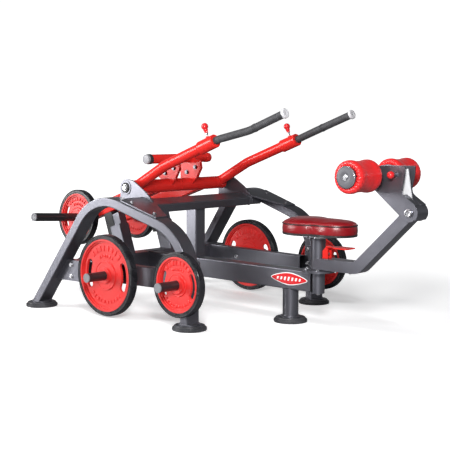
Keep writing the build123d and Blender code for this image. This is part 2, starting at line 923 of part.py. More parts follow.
with BuildPart() as lever_frame:
    tube_length = lever_tube_outer_y - lever_tube_inner_y
    extrude(disc(pivot_plane(lever_tube_inner_y), lever_tube_radius), amount=tube_length)
    # front arm and the sleeve at its end
    with BuildLine() as arm_line:
        FilletPolyline(
            (pivot_x, -arm_y, pivot_z), (bend_x, -arm_y, bend_z), mouth, radius=arm_bend_radius
        )
    sweep(disc(facing(arm_line.line @ 0, arm_line.line % 0), arm_radius), path=arm_line.line)
    sleeve_mouth = facing(mouth, sleeve_axis)
    extrude(disc(sleeve_mouth, sleeve_radius), amount=-sleeve_length)
    # rear arm
    rear_arm_start = Plane(
        origin=(pivot_x, -rear_arm_middle_y, pivot_z), x_dir=(0, 1, 0), z_dir=rear_arm_axis
    )
    rear_arm_total = rear_arm_length + rear_arm_tail
    with BuildSketch(rear_arm_start):
        RectangleRounded(rear_arm_width, rear_arm_height, tube_corner)
    extrude(amount=rear_arm_total)
    # lug for the band peg
    with BuildSketch(pivot_plane(lug_y)):
        with BuildLine():
            foot = lug_foot_half_width
            Polyline(*lug_outline, (foot, 0), (-foot, 0), close=True)
        make_face()
    extrude(amount=lug_thickness)
    # insides
    bore_start = arm_line.line @ 0 + heading(lower_arm_angle) * (
        lever_tube_radius + insert_gap
    )
    arm_bore_end = mouth - sleeve_axis * (sleeve_length + sleeve_plug)
    with BuildLine() as bore_line:
        FilletPolyline(
            bore_start, (bend_x, -arm_y, bend_z), arm_bore_end, radius=arm_bend_radius
        )
    sweep(
        disc(facing(bore_line.line @ 0, bore_line.line % 0), arm_radius - arm_wall),
        path=bore_line.line,
        mode=Mode.SUBTRACT,
    )
    with BuildSketch(rear_arm_start.offset(lever_tube_radius + insert_gap)):
        RectangleRounded(
            rear_arm_width - 2 * arm_wall, rear_arm_height - 2 * arm_wall, arm_wall
        )
    extrude(amount=rear_arm_total, mode=Mode.SUBTRACT)
    extrude(disc(pivot_plane(0), bush_radius), amount=lever_tube_outer_y + 1, mode=Mode.SUBTRACT)
    extrude(
        disc(sleeve_mouth, grip_bar_radius + running_gap),
        amount=-sleeve_length,
        mode=Mode.SUBTRACT,
    )
    # boss and bore for the grip pin
    pin_foot = mouth - sleeve_axis * pin_station
    pin_boss_plane = facing(pin_foot + sleeve_up * pin_boss_foot, sleeve_up)
    extrude(disc(pin_boss_plane, pin_boss_outer_radius), amount=pin_boss_height)
    extrude(
        disc(pin_boss_plane.offset(pin_boss_height), pin_radius + running_gap),
        amount=-pin_boss_foot,
        mode=Mode.SUBTRACT,
    )
save("right_lever_frame", lever_frame)
save("left_lever_frame", mirrored(lever_frame))

with BuildPart() as lever_bushes:
    for start in (lever_tube_inner_y, lever_tube_outer_y - bush_length):
        extrude(
            annulus(pivot_plane(start), bush_radius, shaft_radius + running_gap),
            amount=bush_length,
        )
save("right_lever_bushes", lever_bushes)
save("left_lever_bushes", mirrored(lever_bushes))

with BuildPart() as band_peg:
    peg_start = side_plane(pivot_x, -peg_inner_y, pivot_z + peg_height)
    extrude(disc(peg_start, peg_radius), amount=peg_outer_y - peg_inner_y)
    with BuildSketch(pivot_plane(lug_y + lug_thickness)):
        with BuildLine():
            Polyline(*band_lug_outline, close=True)
        make_face()
    extrude(amount=lug_thickness)
    extrude(
        disc(peg_start, peg_radius - peg_wall),
        amount=peg_outer_y - peg_inner_y,
        mode=Mode.SUBTRACT,
    )
save("right_band_peg", band_peg)
save("left_band_peg", mirrored(band_peg))

with BuildPart() as lever_bolts:
    for bolt_x, bolt_z in lug_bolts:
        outer_spot = (pivot_x + bolt_x, -band_lug_outer_y, pivot_z + bolt_z)
        inner_spot = (pivot_x + bolt_x, -lug_y, pivot_z + bolt_z)
        add(hex_bolt(facing(outer_spot, (0, -1, 0)), lug_bolt_radius))
        add(hex_bolt(facing(inner_spot, (0, 1, 0)), lug_bolt_radius))
save("right_lever_bolts", lever_bolts)
save("left_lever_bolts", mirrored(lever_bolts))

with BuildPart() as lever_horn:
    extrude(disc(lever_horn_plane, horn_radius), amount=lever_horn_length)
    collar_foot = lever_horn_plane.offset(-horn_collar_length)
    extrude(disc(collar_foot, horn_collar_radius), amount=2 * horn_collar_length)
    split(bisect_by=upright(rear_arm_outer_y), keep=Keep.TOP)
save("right_lever_horn", lever_horn)
save("left_lever_horn", mirrored(lever_horn))

with BuildPart() as lever_end_caps:
    # rubber on the horn's tip, a plug in the rear arm, and the band peg's end piece
    extrude(disc(lever_horn_plane.offset(lever_horn_length), horn_radius), amount=cap_length)
    with BuildSketch(rear_arm_start.offset(rear_arm_total)):
        RectangleRounded(rear_arm_width, rear_arm_height, tube_corner)
    extrude(amount=arm_plug_thickness)
    peg_end = side_plane(pivot_x, -peg_outer_y, pivot_z + peg_height)
    extrude(disc(peg_end, peg_radius), amount=peg_cap_length)
save("right_lever_end_caps", lever_end_caps)
save("left_lever_end_caps", mirrored(lever_end_caps))

# ---- grips --------------------------------------------------------------------------

# each grip is a cranked bar; it turns about its sleeve to set the handle spacing
inward = Vector(0, 1, 0)
droop = radians(grip_droop)
grip_side = inward * cos(droop) - sleeve_up * sin(droop)
grip_crank = ((grip_neck_start, 0), (grip_neck_end, grip_offset), (grip_reach, grip_offset))


def grip_path(start):
    """The grip's centre line from a distance along the sleeve axis to its tip."""
    places = [(start, 0)] + list(grip_crank)
    corners = [
        mouth + sleeve_axis * along + grip_side * across for along, across in places
    ]
    with BuildLine() as path:
        FilletPolyline(*corners, radius=grip_bend_radius)
    return path.line


grip_cap_round = 3
with BuildPart() as grip_bar:
    bar_path = grip_path(-grip_depth)
    bar_start = facing(bar_path @ 0, bar_path % 0)
    sweep(
        annulus(bar_start, grip_bar_radius, grip_bar_radius - grip_bar_wall), path=bar_path
    )
    grip_end = facing(bar_path @ 1, bar_path % 1)
    extrude(disc(grip_end, grip_cap_radius), amount=grip_cap_length)
    fillet(grip_bar.edges().filter_by(GeomType.CIRCLE).sort_by(Axis.X)[-1], grip_cap_round)
    # four cross holes let the grip lock at every quarter turn
    sleeve_side = sleeve_axis.cross(sleeve_up)
    for direction in (sleeve_up, sleeve_side):
        extrude(
            disc(facing(pin_foot, direction), pin_hole_radius),
            amount=grip_bar_radius + 1,
            both=True,
            mode=Mode.SUBTRACT,
        )
save("right_grip_bar", grip_bar)
save("left_grip_bar", mirrored(grip_bar))

with BuildPart() as grip_rubber:
    rubber_path = grip_path(sleeve_clearance)
    rubber_start = facing(rubber_path @ 0, rubber_path % 0)
    sweep(
        annulus(rubber_start, grip_rubber_radius, grip_bar_radius + running_gap),
        path=rubber_path,
    )
save("right_grip_rubber", grip_rubber)
save("left_grip_rubber", mirrored(grip_rubber))

pin_tip = grip_bar_radius + 0.6
pin_barrel_radius = 7
pin_barrel_foot = 52
pin_barrel_length = 24
pin_shoulder_radius = 10
pin_shoulder_foot = 75
pin_shoulder_length = 10


def on_pin(height):
    """A plane across the grip pin at a height above the sleeve's middle line."""
    return facing(pin_foot + sleeve_up * height, sleeve_up)


with BuildPart() as grip_pin:
    extrude(disc(on_pin(pin_tip), pin_radius), amount=pin_knob_height - pin_tip)
    extrude(disc(on_pin(pin_barrel_foot), pin_barrel_radius), amount=pin_barrel_length)
    extrude(disc(on_pin(pin_shoulder_foot), pin_shoulder_radius), amount=pin_shoulder_length)
    with Locations(pin_foot + sleeve_up * pin_knob_height):
        Sphere(pin_knob_radius)
save("right_grip_pin", grip_pin)
save("left_grip_pin", mirrored(grip_pin))

# ---- seat ---------------------------------------------------------------------------

seat_plate_corner = 20
seat_top_round = 16
seat_bottom_round = 8
with BuildPart() as seat_post:
    post_bottom = facing((column_x, 0, seat_post_bottom), up)
    extrude(
        annulus(post_bottom, seat_post_radius, seat_post_radius - seat_post_wall),
        amount=seat_bottom - seat_plate_thickness - seat_post_bottom,
    )
    with BuildSketch(facing((0, 0, seat_bottom - seat_plate_thickness), up)):
        with Locations((column_x, 0)):
            RectangleRounded(seat_plate_length, seat_plate_width, seat_plate_corner)
    extrude(amount=seat_plate_thickness)
    for step in range(seat_steps):
        hole_height = lock_pin_z - step * seat_travel_step
        extrude(
            disc(facing((column_x, 0, hole_height), (1, 0, 0)), lock_pin_radius + hole_ease),
            amount=seat_post_radius + 1,
            mode=Mode.SUBTRACT,
        )
save("seat_post", seat_post)

with BuildPart() as seat_cushion:
    # pear-shaped pad, wide behind and narrower between the knees
    with BuildSketch(facing((0, 0, seat_bottom), up)) as seat_outline:
        with Locations((seat_rear_lobe_x, 0)):
            Circle(seat_rear_lobe_radius)
        with Locations((seat_front_lobe_x, 0)):
            Circle(seat_front_lobe_radius)
        waist = seat_outline.vertices().filter_by(
            lambda corner: seat_rear_lobe_x < corner.X < seat_front_lobe_x
        )
        fillet(waist, seat_waist_radius)
    extrude(amount=seat_height)
    fillet(seat_cushion.faces().sort_by(Axis.Z)[-1].edges(), seat_top_round)
    fillet(seat_cushion.faces().sort_by(Axis.Z)[0].edges(), seat_bottom_round)
save("seat_cushion", seat_cushion)

finger_thickness = 4
finger_length = seat_lever_z - lock_pin_z + 7
finger_bottom = seat_lever_z - finger_length
lever_half_thickness = cheek_inner_y - 1
lever_stem_rear = lever_hinge_x - 4
lever_stem_front = lever_hinge_x + 34
lever_flare_end = lever_hinge_x + 62
with BuildPart() as seat_lever:
    # round hub on the hinge pin, a finger down to the lock pin, a flat handle forward
    hinge = (lever_hinge_x, seat_lever_z)
    with BuildSketch(Plane.XZ):
        with Locations(hinge):
            Circle(lever_hub_radius)
        with Locations((lever_hinge_x, (seat_lever_z + finger_bottom) / 2)):
            Rectangle(finger_thickness, finger_length)
    extrude(amount=lever_half_thickness, both=True)
    with BuildSketch(facing((0, 0, seat_lever_z + lever_hub_radius - 1), up)):
        with BuildLine():
            Polyline(
                (lever_stem_rear, -lever_half_thickness),
                (lever_stem_front, -lever_half_thickness),
                (lever_flare_end, -seat_lever_half_width),
                (seat_lever_front, -seat_lever_half_width),
                (seat_lever_front, seat_lever_half_width),
                (lever_flare_end, seat_lever_half_width),
                (lever_stem_front, lever_half_thickness),
                (lever_stem_rear, lever_half_thickness),
                close=True,
            )
        make_face()
    extrude(amount=seat_lever_thickness)
    # slot between the two prongs of the finger, for the lock pin's neck
    with BuildSketch(facing((lever_hinge_x, 0, finger_bottom - 1), up)):
        Rectangle(finger_thickness + 2, 2 * prong_inner_y)
    extrude(amount=lock_pin_z + lock_pin_neck + 2 - finger_bottom, mode=Mode.SUBTRACT)
    with BuildSketch(Plane.XZ):
        with Locations(hinge):
            Circle(hinge_pin_radius + running_gap)
    extrude(amount=cheek_inner_y, both=True, mode=Mode.SUBTRACT)
save("seat_lever", seat_lever)

lock_pin_setback = 0.6
neck_half_length = 4.5
lock_pin_head_length = 7
with BuildPart() as seat_lock_pin:
    tip_x = column_x + seat_post_radius + lock_pin_setback
    neck_rear = lever_hinge_x - neck_half_length
    neck_front = lever_hinge_x + neck_half_length
    pin_start = facing((tip_x, 0, lock_pin_z), (1, 0, 0))
    extrude(disc(pin_start, lock_pin_radius), amount=neck_rear - tip_x)
    extrude(disc(pin_start, lock_pin_neck), amount=neck_front - tip_x + 1)
    extrude(
        disc(facing((neck_front, 0, lock_pin_z), (1, 0, 0)), lock_pin_radius),
        amount=lock_pin_head_length,
    )
save("seat_lock_pin", seat_lock_pin)

# ---- thigh bracket and rollers ------------------------------------------------------

axle_spot = (roller_axle_x, roller_axle_z)
pin_direction = heading(sector_first_angle)
thigh_pin_spot = Vector(thigh_pivot_x, 0, thigh_pivot_z) + pin_direction * sector_hole_radius
pin_boss_radius = 11
pin_boss_length = 14
bracket_chin = ((551, 861), (731, 861), (729, 821), (714, 748), (721, 724), (792, 678))
axle_housing_radius = 22
bracket_pivot_radius = 44
bracket_axle_radius = 50


def bracket_side():
    """Side view of one bracket plate."""
    with BuildSketch(upright(bracket_inner_y)) as side:
        with Locations(thigh_pivot):
            Circle(bracket_pivot_radius)
        with Locations(axle_spot):
            Circle(bracket_axle_radius)
        make_hull()
        with BuildLine():
            Polyline(*bracket_chin, thigh_pivot, axle_spot, close=True)
        make_face()
    return side.sketch


wrap_first_angle = -45
wrap_sweep = 102
web_start = Vector(*bracket_chin[4])
web_end = Vector(*bracket_chin[5])
web_depth = Vector(-5, -8)
with BuildPart() as thigh_bracket:
    extrude(bracket_side(), amount=bracket_plate_thickness)
    # ring segment that wraps the front of the pivot and joins the two plates
    with BuildSketch(Plane.XZ):
        with BuildLine():
            wrap_inner = CenterArc(
                thigh_pivot, wrap_inner_radius, wrap_first_angle, wrap_sweep
            )
            wrap_outer = CenterArc(
                thigh_pivot, bracket_half_width, wrap_first_angle, wrap_sweep
            )
            Line(wrap_inner @ 0, wrap_outer @ 0)
            Line(wrap_inner @ 1, wrap_outer @ 1)
        make_face()
    extrude(amount=bracket_half_width)
    # front web, split in the middle so the sector plate can pass through it
    with BuildSketch(upright(web_slot_half_width)):
        with BuildLine():
            Polyline(
                web_start, web_end, web_end + web_depth, web_start + web_depth, close=True
            )
        make_face()
    extrude(amount=bracket_half_width - web_slot_half_width)
    # housing for the roller axle
    with BuildSketch(Plane.XZ):
        with Locations(axle_spot):
            Circle(axle_housing_radius)
    extrude(amount=axle_collar_end)
    mirror(about=Plane.XZ)
    # boss that guides the thigh pin, on the right-hand plate only
    with BuildSketch(upright(bracket_half_width)):
        with Locations((thigh_pin_spot.X, thigh_pin_spot.Z)):
            Circle(pin_boss_radius)
    extrude(amount=pin_boss_length)
    with BuildSketch(upright(bracket_inner_y)):
        with Locations((thigh_pin_spot.X, thigh_pin_spot.Z)):
            Circle(thigh_pin_radius + running_gap)
    extrude(amount=pin_boss_length + bracket_plate_thickness, mode=Mode.SUBTRACT)
    with BuildSketch(Plane.XZ):
        with Locations(thigh_pivot):
            Circle(thigh_bolt_radius + running_gap)
        with Locations(axle_spot):
            Circle(axle_radius + running_gap)
    extrude(amount=axle_collar_end, both=True, mode=Mode.SUBTRACT)
save("thigh_bracket", thigh_bracket)

axle_disc_thickness = 8
axle_disc_round = 2
axle_bolt_radius = 11
axle_bolt_height = 7
with BuildPart() as roller_axle:
    with BuildSketch(Plane.XZ):
        with Locations(axle_spot):
            Circle(axle_radius)
    extrude(amount=roller_outer_y + 1, both=True)
    axle_end = side_plane(roller_axle_x, -roller_outer_y - 1, roller_axle_z)
    extrude(disc(axle_end, axle_disc_radius), amount=axle_disc_thickness)
    fillet(roller_axle.edges().filter_by(GeomType.CIRCLE).sort_by(Axis.Y)[0], axle_disc_round)
    add(hex_bolt(axle_end.offset(axle_disc_thickness), axle_bolt_radius, axle_bolt_height))
    mirror(about=Plane.XZ)
save("roller_axle", roller_axle)

pin_stroke_room = 11
collar_start = bracket_half_width + pin_boss_length + pin_stroke_room
thigh_collar_radius = 9
with BuildPart() as thigh_pin:
    thigh_pin_start = side_plane(thigh_pin_spot.X, -pin_tip_y, thigh_pin_spot.Z)
    extrude(disc(thigh_pin_start, thigh_pin_radius), amount=thigh_knob_y - pin_tip_y)
    extrude(
        disc(
            side_plane(thigh_pin_spot.X, -collar_start, thigh_pin_spot.Z), thigh_collar_radius
        ),
        amount=thigh_knob_y - collar_start,
    )
    with Locations((thigh_pin_spot.X, -thigh_knob_y, thigh_pin_spot.Z)):
        Sphere(pin_knob_radius)
save("thigh_pin", thigh_pin)

roller_end_round = 16
with BuildPart() as roller:
    with BuildSketch(upright(roller_inner_y)):
        with Locations(axle_spot):
            Circle(roller_radius)
            Circle(axle_radius + roller_gap, mode=Mode.SUBTRACT)
    extrude(amount=roller_outer_y - roller_inner_y)
    rim_edges = roller.edges().filter_by(
        lambda edge: abs(edge.length - 2 * pi * roller_radius) < 1
    )
    fillet(rim_edges, roller_end_round)
save("right_roller", roller)
save("left_roller", mirrored(roller))

# ---- weight plates ------------------------------------------------------------------


def plate_iron(plane, outer_radius, thickness, slot_middle, slot_width, slot_half_angle):
    """Iron disc with recessed faces, a raised hub and rim, and two hand slots."""
    iron_radius = outer_radius - plate_tyre_width
    rim_radius = iron_radius - plate_rim_width
    land_radius = plate_land_share * outer_radius
    recess = (thickness - plate_web) / 2
    with BuildPart() as iron:
        extrude(annulus(plane, iron_radius, plate_bore_radius), amount=thickness)
        for face, inward_side in ((plane, 1), (plane.offset(thickness), -1)):
            extrude(
                annulus(face, rim_radius, plate_hub_radius),
                amount=recess * inward_side,
                mode=Mode.SUBTRACT,
            )
            # raised land round the hub, and the step inside the rim
            floor = face.offset(recess * inward_side)
            extrude(
                annulus(floor, land_radius, plate_hub_radius - 1),
                amount=-inward_side * recess / 3,
            )
            extrude(
                annulus(floor, rim_radius + 1, rim_radius - plate_rim_step),
                amount=-inward_side * recess / 2,
            )
        with BuildSketch(plane) as slots:
            for middle in (0, 180):
                with BuildLine() as slot_arc:
                    slot_start = middle - slot_half_angle
                    CenterArc((0, 0), slot_middle, slot_start, 2 * slot_half_angle)
                SlotArc(slot_arc.line.edges()[0], slot_width)
        extrude(slots.sketch, amount=thickness, mode=Mode.SUBTRACT)
    return iron


def plate_ring(plane, outer_radius, thickness):
    """Rubber tyre round a weight plate, with rounded shoulders."""
    with BuildPart() as ring:
        extrude(annulus(plane, outer_radius, outer_radius - plate_tyre_width), amount=thickness)
        shoulders = ring.edges().filter_by(
            lambda edge: abs(edge.length - 2 * pi * outer_radius) < 1
        )
        fillet(shoulders, plate_shoulder)
    return ring


def save_plate(name, plane, big):
    """Write both halves of a right-hand weight plate and of its left-hand twin."""
    if big:
        outer_radius = big_plate_radius
        thickness = big_plate_thickness
        slot = (big_slot_middle, big_slot_width, big_slot_half_angle)
    else:
        outer_radius = small_plate_radius
        thickness = small_plate_thickness
        slot = (small_slot_middle, small_slot_width, small_slot_half_angle)
    iron = plate_iron(plane, outer_radius, thickness, *slot)
    ring = plate_ring(plane, outer_radius, thickness)
    save(f"right_{name}_disc", iron)
    save(f"right_{name}_ring", ring)
    save(f"left_{name}_disc", mirrored(iron))
    save(f"left_{name}_ring", mirrored(ring))


save_plate("rear_plate", side_plane(rear_storage_x, -big_plate_inner_y, rear_storage_z), True)
save_plate(
    "front_plate", side_plane(front_storage_x, -small_plate_inner_y, front_storage_z), False
)
save_plate("lever_plate", lever_horn_plane.offset(horn_collar_length), False)
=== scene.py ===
"""Looks for the plate-loaded seated dip press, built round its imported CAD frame."""

import json

import random
from math import atan2, cos, pi, radians, sin, sqrt, tau

import bmesh
import bpy
from mathutils import Matrix, Vector, noise
from mathutils.bvhtree import BVHTree
from mathutils.kdtree import KDTree


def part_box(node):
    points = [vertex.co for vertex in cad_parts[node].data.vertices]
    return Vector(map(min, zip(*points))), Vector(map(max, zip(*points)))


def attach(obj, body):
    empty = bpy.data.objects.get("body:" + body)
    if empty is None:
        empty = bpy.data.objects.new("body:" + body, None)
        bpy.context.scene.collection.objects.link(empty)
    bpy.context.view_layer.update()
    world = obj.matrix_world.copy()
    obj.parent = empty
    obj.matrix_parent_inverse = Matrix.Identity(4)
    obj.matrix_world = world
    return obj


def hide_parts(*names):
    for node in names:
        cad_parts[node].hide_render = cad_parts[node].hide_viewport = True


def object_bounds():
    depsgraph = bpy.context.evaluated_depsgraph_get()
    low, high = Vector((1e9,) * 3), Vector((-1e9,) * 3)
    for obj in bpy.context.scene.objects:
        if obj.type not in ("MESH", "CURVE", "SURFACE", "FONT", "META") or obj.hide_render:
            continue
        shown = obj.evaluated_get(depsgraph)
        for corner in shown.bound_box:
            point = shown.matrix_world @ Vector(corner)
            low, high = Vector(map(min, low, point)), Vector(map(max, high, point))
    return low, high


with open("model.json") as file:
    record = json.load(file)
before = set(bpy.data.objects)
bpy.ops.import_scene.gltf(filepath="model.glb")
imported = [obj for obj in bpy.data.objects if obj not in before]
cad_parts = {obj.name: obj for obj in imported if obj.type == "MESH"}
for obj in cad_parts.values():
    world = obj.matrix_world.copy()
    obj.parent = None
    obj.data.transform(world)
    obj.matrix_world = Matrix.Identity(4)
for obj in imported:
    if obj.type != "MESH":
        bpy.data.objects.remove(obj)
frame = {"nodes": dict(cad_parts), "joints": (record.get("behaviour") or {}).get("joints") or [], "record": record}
cad_low, cad_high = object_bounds()
nodes = frame["nodes"]
joints = {joint["name"]: joint for joint in frame["joints"]}
behaviour = frame["record"]["behaviour"]

SIDES = (("right", -1), ("left", 1))
X = Vector((1, 0, 0))
Y = Vector((0, 1, 0))
Z = Vector((0, 0, 1))
MM = 0.001
RANGE_ENDS = ("From Min", "From Max", "To Min", "To Max")

LEVER_Y = 183.5 * MM
STOP_X = -1116 * MM
STOP_TILT = radians(19.3)
PLATE_WEB = 7 * MM
HORN_COLLAR_BEAD = 34.5 * MM
GRIP_REACH = 434 * MM
GRIP_OFFSET = 59 * MM
GRIP_DROOP = radians(13)
LEVER_HORN_REACH = 668 * MM
LEVER_HORN_FOOT = 213.5 * MM
LEVER_HORN_LENGTH = 364 * MM
PIVOT_TUBE_RADIUS = 38 * MM
KNOB_RADIUS = 18.5 * MM


# ---- materials ----------------------------------------------------------------------

class Shader:
    """A material being put together: short calls round its node tree."""

    def __init__(self, name):
        self.material = bpy.data.materials.new(name)
        self.material.use_nodes = True
        self.tree = self.material.node_tree
        self.surface = self.tree.nodes["Principled BSDF"]
        self.place = self.tree.nodes.new("ShaderNodeTexCoord").outputs["Object"]

    def feed(self, socket, value):
        """Set a socket to a number or colour, or link another node's output to it."""
        if isinstance(value, bpy.types.NodeSocket):
            self.tree.links.new(value, socket)
        elif socket.type == "RGBA" and len(value) == 3:
            socket.default_value = (*value, 1)
        else:
            socket.default_value = value

    def node(self, kind, settings=None, **inputs):
        """Add a node, set its properties, and feed the inputs named."""
        made = self.tree.nodes.new(kind)
        for key, value in (settings or {}).items():
            setattr(made, key, value)
        for key, value in inputs.items():
            self.feed(made.inputs[key.replace("_", " ")], value)
        return made

    def noise(self, scale, detail=3, roughness=0.5, place=None):
        made = self.node(
            "ShaderNodeTexNoise",
            Vector=place or self.place,
            Scale=scale,
            Detail=detail,
            Roughness=roughness,
        )
        return made.outputs["Fac"]

    def cells(self, scale, feature="F1"):
        settings = {"feature": feature}
        made = self.node("ShaderNodeTexVoronoi", settings, Vector=self.place, Scale=scale)
        return made.outputs["Distance"]

    def stretched(self, x, y, z):
        """Texture place squeezed along each axis, for brushed or woven looks."""
        made = self.node("ShaderNodeMapping", Vector=self.place, Scale=(x, y, z))
        return made.outputs["Vector"]

    def levels(self, value, low, high, to_low=0.0, to_high=1.0):
        made = self.node("ShaderNodeMapRange", Value=value)
        for key, number in zip(RANGE_ENDS, (low, high, to_low, to_high)):
            made.inputs[key].default_value = number
        return made.outputs["Result"]

    def maths(self, operation, a, b=0.0):
        made = self.node("ShaderNodeMath", {"operation": operation})
        self.feed(made.inputs[0], a)
        self.feed(made.inputs[1], b)
        return made.outputs[0]

    def times(self, a, b):
        return self.maths("MULTIPLY", a, b)

    def blend(self, factor, a, b):
        """Mix two colours."""
        made = self.node("ShaderNodeMix", {"data_type": "RGBA"})
        self.feed(made.inputs[0], factor)
        self.feed(made.inputs[6], a)
        self.feed(made.inputs[7], b)
        return made.outputs[2]

    def shades(self, factor, colour, dark, light):
        """A colour that runs between two shades of itself."""
        return self.blend(factor, shade(colour, dark), shade(colour, light))

    def bump(self, height, strength, depth, normal=None):
        made = self.node("ShaderNodeBump", Height=height, Strength=strength, Distance=depth)
        if normal is not None:
            self.feed(made.inputs["Normal"], normal)
        return made.outputs["Normal"]

    def rounded(self, radius):
        """Normals that round off the hard edges of a machined or folded part."""
        made = self.node("ShaderNodeBevel", {"samples": 4}, Radius=radius)
        return made.outputs["Normal"]

    def edges(self, rounded):
        """1 along hard edges, 0 on flat faces: where rounded normals leave the true ones."""
        true = self.node("ShaderNodeNewGeometry").outputs["Normal"]
        dot = self.node("ShaderNodeVectorMath", {"operation": "DOT_PRODUCT"})
        self.feed(dot.inputs[0], rounded)
        self.feed(dot.inputs[1], true)
        return self.levels(dot.outputs["Value"], 0.995, 0.80)

    def finish(self, **inputs):
        for key, value in inputs.items():
            self.feed(self.surface.inputs[key.replace("_", " ")], value)
        return self.material


def shade(colour, factor):
    """A colour made darker or lighter by a factor."""
    return tuple(min(1.0, channel * factor) for channel in colour)


def paint(name, colour, roughness, metallic, coat, worn, wear=0.25, shine=0.3):
    """Powder coat: flake sparkle, orange peel, faint dust and edges rubbed thin."""
    s = Shader(name)
    patches = s.noise(9, 4, 0.6)
    flakes = s.levels(s.cells(2400), 0.1, 0.6)
    tone = s.shades(patches, colour, 0.86, 1.12)
    tone = s.blend(s.times(flakes, 0.22), tone, shade(colour, 1.9))
    smooth = s.rounded(1.6 * MM)
    rubbed = s.times(s.edges(smooth), s.levels(s.noise(60, 5, 0.7), 0.48, 0.72))
    tone = s.blend(s.times(rubbed, wear), tone, worn)
    peel = s.bump(s.noise(260, 2, 0.5), 0.025, 0.20 * MM, smooth)
    speckle = s.bump(s.noise(1500, 2, 0.6), 0.03, 0.12 * MM, peel)
    sheen = s.maths("ADD", s.levels(s.noise(24, 5, 0.65), 0.3, 0.7, -0.04, 0.05), roughness)
    return s.finish(
        Base_Color=tone,
        Roughness=sheen,
        Metallic=metallic,
        Coat_Weight=coat,
        Coat_Roughness=0.12,
        Specular_IOR_Level=shine,
        Normal=speckle,
    )


def rubber(name, colour, roughness=0.55, grain=900, depth=0.35, shine=0.45):
    """Moulded rubber: fine stipple, mould bloom and scuffs."""
    s = Shader(name)
    bloom = s.noise(14, 5, 0.65)
    tone = s.blend(s.levels(bloom, 0.35, 0.75), colour, shade(colour, 2.1))
    scuff = s.levels(s.noise(95, 6, 0.75), 0.60, 0.78)
    tone = s.blend(s.times(scuff, 0.35), tone, shade(colour, 4.5))
    rough = s.levels(bloom, 0.3, 0.7, roughness - 0.08, roughness + 0.12)
    stipple = s.bump(s.cells(grain), 0.35, depth * MM, s.rounded(1.2 * MM))
    return s.finish(Base_Color=tone, Roughness=rough, Normal=stipple, Specular_IOR_Level=shine)


def steel(name, colour, roughness, brushed):
    """Bright metal with fine brushing along one axis and faint stains."""
    s = Shader(name)
    lines = s.noise(1.0, 6, 0.7, s.stretched(*brushed))
    stain = s.noise(22, 4, 0.6)
    tone = s.shades(stain, colour, 0.78, 1.08)
    rough = s.levels(lines, 0.3, 0.7, roughness - 0.07, roughness + 0.10)
    scratch = s.bump(lines, 0.10, 0.12 * MM, s.rounded(0.8 * MM))
    return s.finish(Base_Color=tone, Metallic=1.0, Roughness=rough, Normal=scratch)


def iron_enamel(name, colour):
    """Thick red enamel over sand-cast iron: rolling surface, fine grit, worn high edges."""
    s = Shader(name)
    clouds = s.noise(11, 4, 0.6)
    tone = s.shades(clouds, colour, 0.82, 1.12)
    smooth = s.rounded(2.2 * MM)
    rubbed = s.times(s.edges(smooth), s.levels(s.noise(70, 5, 0.7), 0.50, 0.70))
    tone = s.blend(s.times(rubbed, 0.30), tone, (0.75, 0.32, 0.30))
    cast = s.bump(s.noise(75, 4, 0.55), 0.30, 0.9 * MM, smooth)
    grit = s.bump(s.noise(700, 3, 0.6), 0.16, 0.25 * MM, cast)
    rough = s.levels(s.noise(34, 5, 0.6), 0.3, 0.7, 0.27, 0.42)
    return s.finish(
        Base_Color=tone, Roughness=rough, Specular_IOR_Level=0.30, Normal=grit
    )


def leather(name, colour):
    """Synthetic upholstery leather: pebbled grain, fine creases, uneven sheen, and painted shade darkening the
    grain's valleys.
    """
    s = Shader(name)
    soft = s.noise(16, 5, 0.6)
    tone = s.shades(soft, colour, 0.80, 1.15)
    pebbles = s.cells(620)
    valleys_bump_and_shade = s.levels(s.cells(620, "DISTANCE_TO_EDGE"), 0.0, 0.12)
    # painted shade: the grain's valleys are coloured darker, as if shade lay in them
    tone = s.blend(s.times(s.levels(valleys_bump_and_shade, 1, 0), 0.25), tone, shade(colour, 0.45))
    creases = s.levels(s.noise(120, 7, 0.72), 0.42, 0.60)
    grain = s.bump(valleys_bump_and_shade, 0.16, 0.35 * MM)
    pebbled = s.bump(pebbles, 0.08, 0.2 * MM, grain)
    creased = s.bump(creases, 0.10, 0.5 * MM, pebbled)
    rough = s.levels(s.noise(45, 5, 0.65), 0.3, 0.7, 0.28, 0.36)
    return s.finish(
        Base_Color=tone,
        Roughness=rough,
        Normal=creased,
        Sheen_Weight=0.03,
        Sheen_Roughness=0.4,
        Specular_IOR_Level=0.50,
    )


def plastic(name, colour, roughness=0.35, grain_depth=0.18):
    """Injection-moulded plastic: satin skin, flow clouds and a spark-eroded grain."""
    s = Shader(name)
    flow = s.noise(30, 3, 0.5)
    tone = s.shades(flow, colour, 0.88, 1.10)
    grain = s.bump(s.noise(1300, 3, 0.6), grain_depth, 0.2 * MM, s.rounded(0.8 * MM))
    rough = s.levels(s.noise(50, 4, 0.6), 0.3, 0.7, roughness - 0.05, roughness + 0.08)
    return s.finish(Base_Color=tone, Roughness=rough, Normal=grain)


def ribbed_grip(name, colour, along, pitch):
    """Grip rubber with close moulded ribs across its length and a fine stipple."""
    s = Shader(name)
    dot = s.node("ShaderNodeVectorMath", {"operation": "DOT_PRODUCT"})
    s.feed(dot.inputs[0], s.place)
    dot.inputs[1].default_value = along
    ribs = s.maths("SINE", s.times(dot.outputs["Value"], tau / pitch))
    ribbed = s.bump(s.levels(ribs, -0.4, 0.8), 0.45, 0.8 * MM)
    stipple = s.bump(s.cells(1100), 0.30, 0.3 * MM, ribbed)
    dust = s.levels(s.noise(40, 6, 0.7), 0.4, 0.75)
    tone = s.blend(s.times(dust, 0.5), colour, shade(colour, 3.0))
    return s.finish(Base_Color=tone, Roughness=0.62, Normal=stipple)


